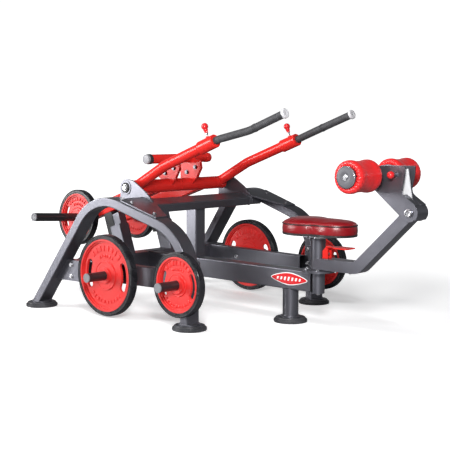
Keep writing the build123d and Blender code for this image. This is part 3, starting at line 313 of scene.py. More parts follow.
def thread(name, colour):
    """Twisted sewing thread."""
    s = Shader(name)
    twist = s.noise(900, 3, 0.6, s.stretched(1, 1, 0.3))
    tone = s.shades(twist, colour, 0.7, 1.2)
    return s.finish(
        Base_Color=tone, Roughness=0.7, Sheen_Weight=0.5, Normal=s.bump(twist, 0.4, 0.3 * MM)
    )


CHARCOAL = (0.135, 0.135, 0.155)
BLACK = (0.016, 0.016, 0.018)
RED = (0.60, 0.020, 0.016)
ENAMEL = (0.66, 0.026, 0.024)
# One red leather in two colours: the seat's is painted darker, as painted shade, and the rollers' lighter, as
# painted light.
SEAT_RED_SHADED = (0.22, 0.003, 0.007)
ROLLER_RED_LIT = (0.70, 0.020, 0.022)
ZINC = (0.52, 0.52, 0.54)
BARE_STEEL = (0.55, 0.55, 0.56)
WORN_RED = (0.75, 0.30, 0.28)
grip_heading = Vector(joints["right_grip_turn"]["axis"])

MATERIALS = {
    "frame_paint": paint("frame_paint", CHARCOAL, 0.36, 0.85, 0.12, BARE_STEEL),
    "red_paint": paint("red_paint", RED, 0.24, 0.0, 0.0, WORN_RED, 0.2, 0.17),
    "black_paint": paint("black_paint", BLACK, 0.30, 0.1, 0.3, BARE_STEEL),
    "plated_steel": steel("plated_steel", ZINC, 0.26, (60, 900, 900)),
    "chrome_post": steel("chrome_post", (0.72, 0.72, 0.74), 0.12, (700, 700, 30)),
    "bronze": steel("bronze", (0.60, 0.40, 0.18), 0.35, (200, 800, 200)),
    "foot_rubber": rubber("foot_rubber", (0.034, 0.034, 0.038), 0.40, 700),
    "black_rubber": rubber("black_rubber", BLACK, 0.55),
    "grip_rubber": ribbed_grip("grip_rubber", (0.030, 0.030, 0.033), grip_heading, 4.2 * MM),
    "cap_plastic": plastic("cap_plastic", (0.16, 0.16, 0.175), 0.40),
    "knob_plastic": steel("pin_steel", ZINC, 0.24, (900, 900, 60)),
    "red_leather": leather("red_leather", SEAT_RED_SHADED),
    "plate_iron": iron_enamel("plate_iron", ENAMEL),
    "plate_rubber": rubber("plate_rubber", (0.010, 0.010, 0.012), 0.26, 1000, 0.12, 0.28),
}
# the rollers' leather: the seat's leather in a lighter colour, as painted light
ROLLER_LEATHER_LIT = leather("roller_leather_lit", ROLLER_RED_LIT)
KNOB_RED = plastic("knob_red", (0.62, 0.015, 0.018), 0.22, 0.05)
PIPING_BLACK = leather("piping_black", (0.014, 0.013, 0.014))
BASE_BLACK = plastic("base_black", (0.02, 0.02, 0.022), 0.45)
THREAD_RED = thread("thread_red", (0.40, 0.02, 0.03))
BADGE_RED = plastic("badge_red", (0.60, 0.015, 0.02), 0.18)
BADGE_WHITE = plastic("badge_white", (0.80, 0.80, 0.80), 0.22)
CAP_GREY = plastic("cap_grey", (0.26, 0.26, 0.28), 0.42, 0.02)
SATIN_SILVER = paint("satin_silver", (0.78, 0.78, 0.80), 0.30, 0.25, 0.3, BARE_STEEL)
# Light grey on the grip's plated steel end face: a painted reflection of its shine, in place of metal.
CAP_PAINTED_REFLECTION = plastic("cap_painted_reflection", (0.56, 0.56, 0.58), 0.30, 0.02)
DARK_STEEL = steel("dark_steel", (0.10, 0.10, 0.11), 0.30, (500, 500, 500))
WELD_DARK = paint("weld_dark", shade(CHARCOAL, 0.8), 0.42, 0.7, 0.1, BARE_STEEL)
WELD_RED = paint("weld_red", shade(RED, 0.85), 0.38, 0.15, 0.3, WORN_RED)
DISC_GREY = paint("disc_grey", (0.085, 0.085, 0.095), 0.46, 0.1, 0.0, BARE_STEEL)

LOOK_OF_NODE = {
    "sector_plate": SATIN_SILVER,
    "right_lever_bolts": DARK_STEEL,
    "left_lever_bolts": DARK_STEEL,
}
for part in frame["record"]["subparts"]:
    materials = nodes[part["node"]].data.materials
    materials.clear()
    materials.append(LOOK_OF_NODE.get(part["node"], MATERIALS[part["material_slot"]]))


# ---- mesh helpers -------------------------------------------------------------------

def body_with(node):
    """The name of the CAD body a node belongs to."""
    return next(name for name, members in behaviour["bodies"].items() if node in members)


def face_outward(mesh):
    """Turn every face of a mesh so that its closed shells face outward."""
    work = bmesh.new()
    work.from_mesh(mesh)
    bmesh.ops.recalc_face_normals(work, faces=work.faces)
    work.to_mesh(mesh)
    work.free()
    mesh.update()


def placed_object(name, data):
    """A new object in the scene for a mesh, camera or light."""
    made = bpy.data.objects.new(name, data)
    bpy.context.scene.collection.objects.link(made)
    return made


def add_mesh(name, points, faces, material, body, smooth=50):
    """Make a piece from points in the row frame and ride it on a body."""
    mesh = bpy.data.meshes.new(name)
    mesh.from_pydata([tuple(p) for p in points], [], faces)
    mesh.validate()
    face_outward(mesh)
    mesh.polygons.foreach_set("use_smooth", [True] * len(mesh.polygons))
    mesh.set_sharp_from_angle(angle=radians(smooth))
    mesh.materials.append(material)
    piece = placed_object(name, mesh)
    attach(piece, body)
    return piece


class Build:
    """Points and faces gathered for one mesh."""

    def __init__(self):
        self.points = []
        self.faces = []

    def add(self, points, faces):
        start = len(self.points)
        self.points.extend(points)
        self.faces.extend([tuple(start + i for i in face) for face in faces])

    def rings(self, rings, closed=True, cap_start=False, cap_end=False):
        """Skin a list of equal rings of points; closed joins the last ring to the first."""
        count = len(rings[0])
        points = [p for ring in rings for p in ring]
        faces = []
        spans = len(rings) if closed else len(rings) - 1
        for i in range(spans):
            a, b = i * count, ((i + 1) % len(rings)) * count
            for k in range(count):
                n = (k + 1) % count
                faces.append((a + k, a + n, b + n, b + k))
        if cap_start:
            faces.append(tuple(reversed(range(count))))
        if cap_end:
            faces.append(tuple(range(len(points) - count, len(points))))
        self.add(points, faces)

    def piece(self, name, material, body, slot=None, smooth=50):
        return add_mesh(name, self.points, self.faces, material, body, smooth)


def axes_of(direction):
    """Two unit vectors square to a direction."""
    direction = direction.normalized()
    helper = Z if abs(direction.z) < 0.9 else X
    side = direction.cross(helper).normalized()
    return side, direction.cross(side)


def ring_points(centre, u, v, radius, count):
    """Points round a circle in the plane of u and v."""
    turns = [tau * k / count for k in range(count)]
    return [centre + (u * cos(t) + v * sin(t)) * radius for t in turns]


def revolve(build, origin, direction, profile, count=64, closed=True):
    """Turn a profile of (along, radius) pairs about an axis."""
    direction = direction.normalized()
    u, v = axes_of(direction)
    rings = [ring_points(origin + direction * a, u, v, r, count) for a, r in profile]
    build.rings(rings, closed)


def in_mm(profile):
    """A profile of (along, radius) pairs written in millimetres."""
    return [(along * MM, radius * MM) for along, radius in profile]


def torus_profile(along, radius, thickness, count=10):
    """A small round section at a radius, for beads, lips and O-rings."""
    turns = [tau * k / count for k in range(count)]
    return [(along + thickness * cos(t), radius + thickness * sin(t)) for t in turns]


def hoop(build, spot, axis, radius, thickness, count):
    """A round ring about an axis, sizes in millimetres."""
    revolve(build, spot, axis, torus_profile(0.0, radius * MM, thickness * MM), count)


def loft(build, path, radii, count=10, closed=False):
    """A round cord along a path, whose radius may change from point to point."""
    rings = []
    total = len(path)
    for i, point in enumerate(path):
        before = path[i - 1] if closed or i > 0 else path[i]
        after = path[(i + 1) % total] if closed or i < total - 1 else path[i]
        u, v = axes_of(after - before)
        radius = radii[i] if isinstance(radii, (list, tuple)) else radii
        rings.append(ring_points(point, u, v, radius, count))
    build.rings(rings, closed, cap_start=not closed, cap_end=not closed)


def circle_path(origin, direction, radius, count=96):
    """Points round a circle."""
    return ring_points(origin, *axes_of(direction), radius, count)


def resample(path, step, closed=True):
    """Evenly spaced points along a path of straight runs."""
    corners = list(path) + ([path[0]] if closed else [])
    lengths = [(b - a).length for a, b in zip(corners, corners[1:])]
    total = sum(lengths)
    count = max(8, round(total / step))
    placed = []
    run, edge = 0.0, 0
    for k in range(count):
        target = total * k / (count if closed else count - 1)
        while edge < len(lengths) - 1 and run + lengths[edge] < target:
            run += lengths[edge]
            edge += 1
        share = (target - run) / max(lengths[edge], 1e-9)
        placed.append(corners[edge].lerp(corners[edge + 1], min(1.0, share)))
    return placed


def weld(build, path, size=3.2 * MM, closed=True):
    """A weld bead: a cord whose thickness ripples like laid-over drops."""
    placed = resample(path, 1.1 * MM, closed)
    ripple = 4.4  # points to one drop
    radii = []
    for k in range(len(placed)):
        drop = (k % ripple) / ripple
        radii.append(size * (0.78 + 0.22 * sqrt(max(0.0, 1 - (2 * drop - 1) ** 2))))
    loft(build, placed, radii, 8, closed)


def rectangle_path(centre, u, v, width, height, corner=6 * MM):
    """A rounded rectangle about a centre, in the plane of u and v."""
    path = []
    for turn, (sx, sy) in enumerate(((1, 1), (-1, 1), (-1, -1), (1, -1))):
        middle = centre + u * (sx * (width / 2 - corner)) + v * (sy * (height / 2 - corner))
        for k in range(5):
            angle = (turn + k / 4) * pi / 2
            path.append(middle + (u * cos(angle) + v * sin(angle)) * corner)
    return path


def rounded_block(build, centre, u, v, w, sizes, corner):
    """A block with rounded outline and eased top, sizes along u, v and w."""
    levels = ((-0.5, 1.0), (0.32, 1.0), (0.44, 0.955), (0.5, 0.86))
    rings = []
    for level, share in levels:
        ring_centre = centre + w * (level * sizes[2])
        width, height = sizes[0] * share, sizes[1] * share
        rings.append(rectangle_path(ring_centre, u, v, width, height, corner * share))
    build.rings(rings, closed=False, cap_start=True, cap_end=True)


def middle_of(node):
    low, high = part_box(node)
    return (low + high) / 2


def size_of(node):
    low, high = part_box(node)
    return high - low


# ---- weight plates ------------------------------------------------------------------

def plate_marks(name, node_stem, body):
    """Raised bars round a plate's face in place of lettering, tyre beads and rim lips."""
    ring = f"{node_stem}_ring"
    joint = joints[f"{body}_slide"]
    outward = Vector(joint["axis"])
    centre = middle_of(ring)
    radius = size_of(ring).z / 2
    upright = (Z - outward * Z.dot(outward)).normalized()
    sideways = upright.cross(outward).normalized()
    bars = Build()
    # each row: middle angle, spread, place and height as shares of the radius, widths
    rows = (
        (90, 88, 0.665, 0.140, (1.0, 0.7, 1.0, 0.9, 0.6, 1.0, 0.8, 1.0)),
        (90, 54, 0.480, 0.080, (0.9, 1.0, 0.7, 1.0, 0.8, 1.0)),
        (270, 92, 0.660, 0.080, (1.0, 0.6, 0.9, 0.4, 0.8, 1.0, 0.5, 0.9, 0.7, 1.0)),
    )
    for face in (1, -1):
        for middle, spread, share, height, widths in rows:
            pitch = radians(spread) / (len(widths) - 1)
            for k, wide in enumerate(widths):
                angle = radians(middle - spread / 2) + pitch * k
                spoke = sideways * cos(angle) + upright * sin(angle)
                around = upright * cos(angle) - sideways * sin(angle)
                spot = centre + spoke * (radius * share) + outward * (face * (PLATE_WEB + 1.8 * MM))
                width = radius * share * pitch * 0.62 * wide
                sizes = (width, radius * height, 4.4 * MM)
                rounded_block(bars, spot, around, spoke, outward * face, sizes, width * 0.3)
    bars.piece(name, MATERIALS["plate_iron"], body, "plate_iron", 40)

    # beads moulded into the tyre, and a rolled lip inside the iron rim
    big = "rear" in node_stem
    half = size_of("right_rear_plate_ring" if big else "right_front_plate_ring").y / 2
    beads = Build()
    lips = Build()
    for face in (1, -1):
        flat = centre + outward * (face * (half - 0.6 * MM))
        for inset, thick in ((6.5, 2.6), (19.5, 2.2)):
            bead = torus_profile(0.0, radius - inset * MM, thick * MM, 12)
            revolve(beads, flat, outward, bead, 128)
        rim = torus_profile(0.0, radius - 30 * MM, 2.4 * MM, 12)
        revolve(lips, centre + outward * (face * (half - 1.6 * MM)), outward, rim, 128)
        land = torus_profile(0.0, radius * 0.36 - 3 * MM, 2.6 * MM, 12)
        floor = PLATE_WEB + (half - PLATE_WEB) / 3
        revolve(lips, centre + outward * (face * (floor - 0.6 * MM)), outward, land, 96)
    beads.piece(f"{node_stem}_tyre_beads", MATERIALS["plate_rubber"], body, "plate_rubber")
    lips.piece(f"{node_stem}_lips", MATERIALS["plate_iron"], body, "plate_iron")


for side, _ in SIDES:
    for place in ("rear_plate", "front_plate", "lever_plate"):
        plate_marks(f"{side}_{place}_marks", f"{side}_{place}", f"{side}_{place}")


# ---- soft goods ---------------------------------------------------------------------

def surface_from(mesh):
    """A tree of a mesh's faces, for finding the nearest point of its skin."""
    points = [v.co.copy() for v in mesh.vertices]
    return BVHTree.FromPolygons(points, [p.vertices for p in mesh.polygons])


def outline_of(node, height, step):
    """The outline of a CAD node at a height, as evenly spaced points."""
    surface = surface_from(nodes[node].data)
    low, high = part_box(node)
    centre = Vector(((low.x + high.x) / 2, 0, height))
    rays = []
    for k in range(720):
        heading = Vector((cos(tau * k / 720), sin(tau * k / 720), 0))
        rays.append(surface.ray_cast(centre + heading, -heading)[0])
    return resample(rays, step)


def flat_normals(path):
    """Outward directions in the floor plane along a closed path."""
    total = len(path)
    normals = []
    for k in range(total):
        run = path[(k + 1) % total] - path[k - 1]
        normals.append(Vector((run.y, -run.x, 0)).normalized())
    return normals


def pushed(path, distance, height):
    """A closed flat path moved outward by a distance and set at a height."""
    moved = [p + n * distance for p, n in zip(path, flat_normals(path))]
    return [Vector((p.x, p.y, height)) for p in moved]


def plain_piece(build, name, material):
    """A loose piece from gathered points and faces, on no body yet."""
    mesh = bpy.data.meshes.new(name)
    mesh.from_pydata([tuple(p) for p in build.points], [], build.faces)
    mesh.update()
    mesh.materials.append(material)
    return placed_object(name, mesh)


def cover_over(cover, body, node):
    """Ride a leather cover on a body in place of a plain CAD node."""
    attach(cover, body)
    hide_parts(node)


def remeshed(build, name, material, voxel):
    """A fine even mesh over a closed rough shape."""
    piece = plain_piece(build, name, material)
    modifier = piece.modifiers.new("even", "REMESH")
    modifier.mode = "VOXEL"
    modifier.voxel_size = voxel
    modifier.use_smooth_shade = True
    keep_result(piece)
    return piece


def keep_result(piece):
    """Replace a piece's mesh by what its modifiers make of it."""
    depsgraph = bpy.context.evaluated_depsgraph_get()
    made = bpy.data.meshes.new_from_object(piece.evaluated_get(depsgraph))
    piece.modifiers.clear()
    old = piece.data
    made.name = old.name
    piece.data = made
    bpy.data.meshes.remove(old)


def inflate(piece, pinned, cap, pressure=4.0, frames=20):
    """Blow a sewn cover up under cloth simulation, held where pinned(point) says."""
    mesh = piece.data
    start = [v.co.copy() for v in mesh.vertices]
    seams = piece.vertex_groups.new(name="seams")
    for index, point in enumerate(start):
        hold = pinned(point)
        if hold > 0:
            seams.add([index], hold, "REPLACE")
    cloth = piece.modifiers.new("cover", "CLOTH")
    settings = cloth.settings
    settings.quality = 6
    settings.mass = 0.35
    settings.tension_stiffness = 12
    settings.compression_stiffness = 6
    settings.shear_stiffness = 4
    settings.bending_stiffness = 3.0
    settings.vertex_group_mass = "seams"
    settings.use_pressure = True
    settings.uniform_pressure_force = pressure
    settings.shrink_min = -0.004
    settings.effector_weights.gravity = 0
    cloth.point_cache.frame_start = 1
    cloth.point_cache.frame_end = frames
    scene = bpy.context.scene
    for number in range(1, frames + 1):
        scene.frame_set(number)
    depsgraph = bpy.context.evaluated_depsgraph_get()
    blown = piece.evaluated_get(depsgraph).data
    moved = [v.co.copy() for v in blown.vertices]
    piece.modifiers.clear()
    piece.vertex_groups.clear()
    scene.frame_set(1)
    for vertex, before, after in zip(mesh.vertices, start, moved):
        shift = after - before
        if shift.length > cap:
            shift = shift.normalized() * cap
        vertex.co = before + shift
    mesh.update()


def refine(piece):
    """Subdivide a cover once and shade it smooth."""
    modifier = piece.modifiers.new("fine", "SUBSURF")
    modifier.levels = 1
    keep_result(piece)
    piece.data.polygons.foreach_set("use_smooth", [True] * len(piece.data.polygons))


def stitches(build, path, normals):
    """A row of stitches lying along a closed path."""
    pitch = 5.8 * MM
    radius = 0.55 * MM
    placed = resample(path, pitch / 4)
    guide = KDTree(len(path))
    for index, point in enumerate(path):
        guide.insert(point, index)
    guide.balance()
    for k in range(0, len(placed) - 4, 4):
        dash = placed[k:k + 4]
        rise = normals[guide.find(dash[1])[1]]
        lifted = [p + rise * lift * radius for p, lift in zip(dash, (-0.9, 0.7, 0.7, -0.9))]
        loft(build, lifted, radius, 6)


def add_cushion():
    """The seat: board, padded cover, piping, edging and stitching."""
    low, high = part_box("seat_cushion")
    seam_height = high.z - 12 * MM
    band_bottom = low.z + 9 * MM
    wall = outline_of("seat_cushion", (low.z + high.z) / 2, 4 * MM)
    edge = KDTree(len(wall))
    for index, point in enumerate(wall):
        edge.insert((point.x, point.y, 0), index)
    edge.balance()

    # board under the padding
    board = Build()
    levels = ((-9, 0), (-3.5, 0), (-1.5, 1.2), (-1.2, 3), (-1.2, 8), (-4, 9.4))
    rings = [pushed(wall, out * MM, low.z + up * MM) for out, up in levels]
    board.rings(rings, False, cap_start=True, cap_end=True)
    board.piece("seat_base", BASE_BLACK, "seat", "black_rubber")

    # padded cover: side band and crowned top in one skin, held at its seams
    rough = Build()
    levels = (
        (-9, 0), (-3.5, 0), (-1.8, 6), (-0.8, 16), (-0.8, 27), (-1.8, 37), (-3.2, 41),
        (-3.8, (seam_height - band_bottom) / MM), (-4.4, 52), (-6.5, 56),
    )
    rings = [pushed(wall, out * MM, band_bottom + up * MM) for out, up in levels]
    rough.rings(rings, False, cap_start=True, cap_end=True)
    cover = remeshed(rough, "seat_cover", MATERIALS["red_leather"], 4.6 * MM)
    crown = 17 * MM
    shoulder = 34 * MM
    top_start = band_bottom + 54 * MM
    for vertex in cover.data.vertices:
        point = vertex.co
        if point.z > top_start - 1 * MM:
            inset = edge.find((point.x, point.y, 0))[2]
            share = min(1.0, max(0.0, inset - 6 * MM) / shoulder)
            dome = sqrt(max(0.0, 1 - (1 - share) ** 2.2))
            point.z += crown * dome * (0.55 + 0.45 * min(1.0, inset / (95 * MM)))

    def held(point):
        seam = abs(point.z - seam_height)
        if point.z < band_bottom + 3 * MM or seam < 3.4 * MM:
            return 1.0
        return 0.0

    inflate(cover, held, 7 * MM)
    for vertex in cover.data.vertices:
        point = vertex.co
        gap = abs(point.z - seam_height) / (7 * MM)
        if gap < 1:
            inset = edge.find((point.x, point.y, 0))
            inward = (Vector(inset[0]) - Vector((0.2, 0, 0))).normalized()
            point -= inward * (1.6 * MM * (1 - gap) ** 2)
    refine(cover)
    cover.data.set_sharp_from_angle(angle=radians(80))
    cover_over(cover, "seat", "seat_cushion")

    # piping, its lips, and stitches above and below it
    piping = Build()
    loft(piping, pushed(wall, -1.6 * MM, seam_height), 3.1 * MM, 12, True)
    piping.piece("seat_piping", PIPING_BLACK, "seat", "black_rubber")
    edging = Build()
    loft(edging, pushed(wall, -2.4 * MM, band_bottom + 1 * MM), 2.2 * MM, 10, True)
    edging.piece("seat_edging", PIPING_BLACK, "seat", "black_rubber")
    skin = surface_from(cover.data)
    sewing = Build()
    for out, up in ((-9, 7.5), (2, -7.5)):
        row = []
        rises = []
        for point in pushed(wall, out * MM, seam_height + up * MM):
            spot, normal = skin.find_nearest(point)[:2]
            row.append(spot)
            rises.append(normal)
        stitches(sewing, row, rises)
    sewing.piece("seat_stitching", THREAD_RED, "seat", "red_leather")


def add_roller(side, sign):
    """A padded roller: a waisted cover gathered in pleats round an end disc."""
    node = f"{side}_roller"
    low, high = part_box(node)
    centre = (low + high) / 2
    radius = (high.z - low.z) / 2
    half = (high.y - low.y) / 2
    disc = 53 * MM
    around = 200
    rng = random.Random(7 if sign < 0 else 11)
    outward = Y * sign
    u, v = axes_of(outward)
    # half outline from the disc to the waist, in mm: (in from the end, out from the disc),
    # then (in from the end, in from the full radius)
    gathers = ((7, -4), (3.5, 1), (1, 5), (0.5, 10), (1.5, 16))
    body_run = (
        (5, 9), (10, 5), (17, 2.2), (26, 1.4), (36, 1.6), (46, 2.8), (56, 4.6), (68, 6.2), (82, 7),
    )
    shoulder = [(half - inset * MM, disc + out * MM) for inset, out in gathers]
    shoulder += [(half - inset * MM, radius - drop * MM) for inset, drop in body_run]
    outline = shoulder + [(0.0, radius - 7.2 * MM)]
    outline += [(-along, r) for along, r in reversed(shoulder)]
    dense = resample([Vector((a, r, 0)) for a, r in outline], 3.2 * MM, False)
    rings = [ring_points(centre + outward * p.x, u, v, p.y, around) for p in dense]
    skin = Build()
    skin.rings(rings, False)
    cover = plain_piece(skin, f"{node}_cover", ROLLER_LEATHER_LIT)
    mesh = cover.data

    def held(point):
        along = (point - centre).dot(outward)
        out = (point - centre - outward * along).length
        return 1.0 if out < disc + 3 * MM and abs(along) > half - 12 * MM else 0.0

    inflate(cover, held, 5 * MM, 3.0)
    # pleats, deepest at the disc and fading over the shoulder
    pleats = 27
    jitter = [rng.uniform(-0.22, 0.22) for _ in range(pleats)]
    depth = [rng.uniform(0.75, 1.2) for _ in range(pleats)]
    for vertex in mesh.vertices:
        offset = vertex.co - centre
        along = offset.dot(outward)
        flat = offset - outward * along
        out = flat.length
        t = (atan2(flat.dot(v), flat.dot(u)) / tau) % 1.0
        lean = 0.35 * (out - disc) / (radius - disc)
        place = t * pleats + lean
        index = int(place) % pleats
        phase = (place - int(place)) + jitter[index] * 0.3
        fold = (0.5 + 0.5 * cos(tau * phase)) ** 1.7
        near = max(0.0, min(1.0, (abs(along) - (half - 34 * MM)) / (26 * MM)))
        face = max(0.0, min(1.0, (radius - 2 * MM - out) / (radius - disc - 6 * MM)))
        strength = near ** 2 * (0.12 + 0.88 * face)
        drop = 9.0 * MM * depth[index] * fold * strength
        tilt = 1.0 if along > 0 else -1.0
        endward = outward * tilt * (0.25 + 0.75 * face)
        normal = (endward + flat.normalized() * (1 - face)).normalized()
        vertex.co -= normal * drop
        wave = noise.noise(vertex.co * 38 + Vector((sign, 0, 0))) * 0.9 * MM
        vertex.co += flat.normalized() * wave
    refine(cover)
    cover_over(cover, node, node)

    ends = Build()
    inner = centre - outward * (half - 1 * MM)
    profile = [(-8, 23.2), (3, 23.2), (4.2, 24.7), (4.2, 47), (3.2, 51), (1.2, 52.6), (-8, 52.6)]
    revolve(ends, inner, -outward, in_mm(profile), 72)
    ends.piece(f"{node}_inner_disc", DISC_GREY, node, "plated_steel")
    seam = Build()
    seam_turn = radians(-35)
    seam_side = u * cos(seam_turn) + v * sin(seam_turn)
    skin_now = surface_from(cover.data)
    stations = 60
    for shift in (-4.5, 0, 4.5):
        row = []
        rises = []
        across = seam_side.cross(outward) * (shift * MM)
        for k in range(stations):
            level = outward * ((k / (stations - 1) * 2 - 1) * (half - 16 * MM))
            near = centre + level + seam_side * radius + across
            spot, normal = skin_now.find_nearest(near)[:2]
            row.append(spot)
            rises.append(normal)
        if shift == 0:
            loft(seam, row, 0.8 * MM, 6)
        else:
            placed = resample(row, 1.5 * MM, False)
            for start in range(0, len(placed) - 4, 4):
                dash = placed[start:start + 4]
                rise = rises[min(stations - 1, start * stations // len(placed))]
                lifts = (-0.5, 0.4, 0.4, -0.5)
                loft(seam, [p + rise * (lift * MM) for p, lift in zip(dash, lifts)], 0.5 * MM, 6)
    seam.piece(f"{node}_seam", THREAD_RED, node, "red_leather")


add_cushion()
for side, sign in SIDES:
    add_roller(side, sign)


# ---- frame details ------------------------------------------------------------------

FEET = {
    mount["name"]: Vector(mount["pos_m"])
    for mount in frame["record"]["mounts"]
    if mount["name"].endswith("foot")
}
pad_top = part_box("foot_pads")[1].z
plate_top = pad_top + 6 * MM


def arch_axes(sign):
    """Along, outward and foot of one side arch: its plane passes over both of its feet."""
    side = "right" if sign < 0 else "left"
    rear = FEET[f"{side}_rear_foot"]
    front = FEET[f"{side}_arch_foot"]
    along = (front - rear).normalized()
    outward = along.cross(Z) if sign < 0 else -along.cross(Z)
    return rear, front, along, outward


def add_foot_lips():
    """Moulded lips and a tread ring on each foot pad."""
    lips = Build()
    for spot in FEET.values():
        for height, radius, thick in ((14.6, 86.0, 1.8), (4.0, 89.3, 1.1), (26.1, 73.0, 1.2)):
            loft(lips, circle_path(spot + Z * (height * MM), Z, radius * MM), thick * MM, 8, True)
        for k in range(36):
            turn = tau * k / 36
            spoke = Vector((cos(turn), sin(turn), 0))
            low = spot + spoke * (90.2 * MM) + Z * (5 * MM)
            loft(lips, [low, low + Z * (7 * MM)], 1.1 * MM, 6)
    lips.piece("foot_pad_lips", MATERIALS["foot_rubber"], "frame", "foot_rubber")


def add_frame_welds():
    """Weld beads where the frame's tubes meet."""
    beads = Build()
    beam_low, beam_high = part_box("main_beam")
    beam = size_of("main_beam")
    beam_centre = middle_of("main_beam")
    start = Vector((beam_low.x, 0, beam_centre.z))
    weld(beads, rectangle_path(start, Y, Z, beam.y + 2 * MM, beam.z + 1 * MM))
    post = middle_of("centre_post")
    post_size = size_of("centre_post")
    post_foot = Vector((post.x, 0, beam_high.z))
    weld(beads, rectangle_path(post_foot, X, Y, post_size.x + 1 * MM, post_size.y + 1 * MM))
    column = middle_of("seat_post")
    column_foot = Vector((column.x, 0, beam_high.z + 12 * MM))
    weld(beads, circle_path(column_foot, Z, 39.0 * MM))
    leg = middle_of("front_leg")
    leg_radius = 43.5 * MM
    weld(beads, circle_path(Vector((leg.x, 0, beam_low.z - 1 * MM)), Z, leg_radius))
    weld(beads, circle_path(Vector((leg.x, 0, plate_top)), Z, leg_radius))
    member = middle_of("cross_member")
    tilt = radians(17)
    member_up = Vector((sin(tilt), 0, cos(tilt)))
    member_along = Vector((cos(tilt), 0, -sin(tilt)))
    for _, sign in SIDES:
        rear, front, along, outward = arch_axes(sign)
        for spot, width, shift in ((front, 51, 0), (rear, 63, 2)):
            centre = spot + Z * plate_top + along * (shift * MM)
            weld(beads, rectangle_path(centre, along, outward, width * MM, 101 * MM))
        end = member + Y * (sign * 404 * MM)
        weld(beads, rectangle_path(end, member_along, member_up, 101 * MM, 51 * MM))
        stop = Vector((STOP_X, sign * LEVER_Y, beam_high.z))
        weld(beads, rectangle_path(stop, X, Y, 96 * MM, 76 * MM))
        hub = middle_of("right_front_plate_disc")
        run = (hub.x - rear.x) / along.x
        spot = rear + along * run + outward * (50.5 * MM)  # the arch tube is 50 mm thick
        spot.z = hub.z
        weld(beads, circle_path(spot, outward, HORN_COLLAR_BEAD))
    beads.piece("frame_welds", WELD_DARK, "frame", "frame_paint")


def add_badge(name, sign):
    """A plain lens-shaped badge with a bright border on the main beam's side."""
    beam_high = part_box("main_beam")[1]
    face = sign * (beam_high.y + 0.1 * MM)
    centre = Vector((20 * MM, face, 239 * MM))
    outward = Y * sign
    count = 96
    layers = (
        (f"{name}_border", BADGE_WHITE, 1.0, 1.0, 2.0, 2.6),
        (name, BADGE_RED, 0.955, 0.86, 2.9, 3.5),
    )
    for piece_name, material, wide, tall, side_height, top_height in layers:
        lens = Build()
        rings = []
        steps = ((1.0, 0.0), (1.0, side_height * 0.7), (0.985, side_height), (0.6, top_height))
        for share, height in steps:
            ring = []
            for k in range(count):
                turn = tau * k / count
                x = cos(turn) * 124 * MM * wide * share
                pinch = 1 - 0.42 * abs(cos(turn)) ** 1.5
                z = sin(turn) * 35 * MM * tall * share * pinch
                ring.append(centre + Vector((x, 0, z)) + outward * (height * MM))
            rings.append(ring)
        lens.rings(rings, False, cap_end=True)
        lens.piece(piece_name, material, "frame", "red_paint", 40)
    stripes = Build()
    for k in range(7):
        x = (k - 3) * 25 * MM
        tall = (22 - abs(k - 3) * 2.5) * MM
        spot = centre + Vector((x, 0, 0)) + outward * (3.9 * MM)
        slant = Vector((0.28, 0, 1)).normalized()
        rounded_block(stripes, spot, X, slant, outward, (11 * MM, tall, 1.6 * MM), 2 * MM)
    stripes.piece(f"{name}_bars", BADGE_WHITE, "frame", "cap_plastic", 40)


def add_buffer_ribs():
    """Moulded ribs across the lever stops."""
    ribs = Build()
    along = Vector((cos(STOP_TILT), 0, sin(STOP_TILT)))
    up = Vector((-sin(STOP_TILT), 0, cos(STOP_TILT)))
    base = Vector((STOP_X, 0, 290 * MM)) + up * (175 * MM)
    for _, sign in SIDES:
        middle_y = sign * LEVER_Y
        for k in range(5):
            rise = up * ((12 + 15 * k) * MM)
            spot = base + rise + along * (-80.5 * MM)
            left = Vector((spot.x, middle_y - 27 * MM, spot.z))
            right = Vector((spot.x, middle_y + 27 * MM, spot.z))
            loft(ribs, [left, right], 2.0 * MM, 8)
    ribs.piece("stop_buffer_ribs", MATERIALS["black_rubber"], "frame", "black_rubber")


add_foot_lips()
add_frame_welds()
for side, sign in SIDES:
    add_badge(f"{side}_badge", sign)
add_buffer_ribs()


# ---- lever, grip and horn details ---------------------------------------------------

def knob(build, centre, axis, radius, neck=1.12):
    """A ball knob with a collar and a flattened tip."""
    profile = [(-radius * neck, radius * 0.42), (-radius * (neck - 0.04), radius * 0.58)]
    for k in range(15):
        angle = radians(-58 + k * 9.6)
        profile.append((radius * sin(angle), radius * cos(angle)))
    profile.append((radius * 0.985, radius * 0.18))
    profile.append((radius * 0.985, 0.0004))
    profile.append((0.0, 0.0004))
    profile.append((-radius * neck, 0.0004))
    revolve(build, centre, axis, profile, 48)


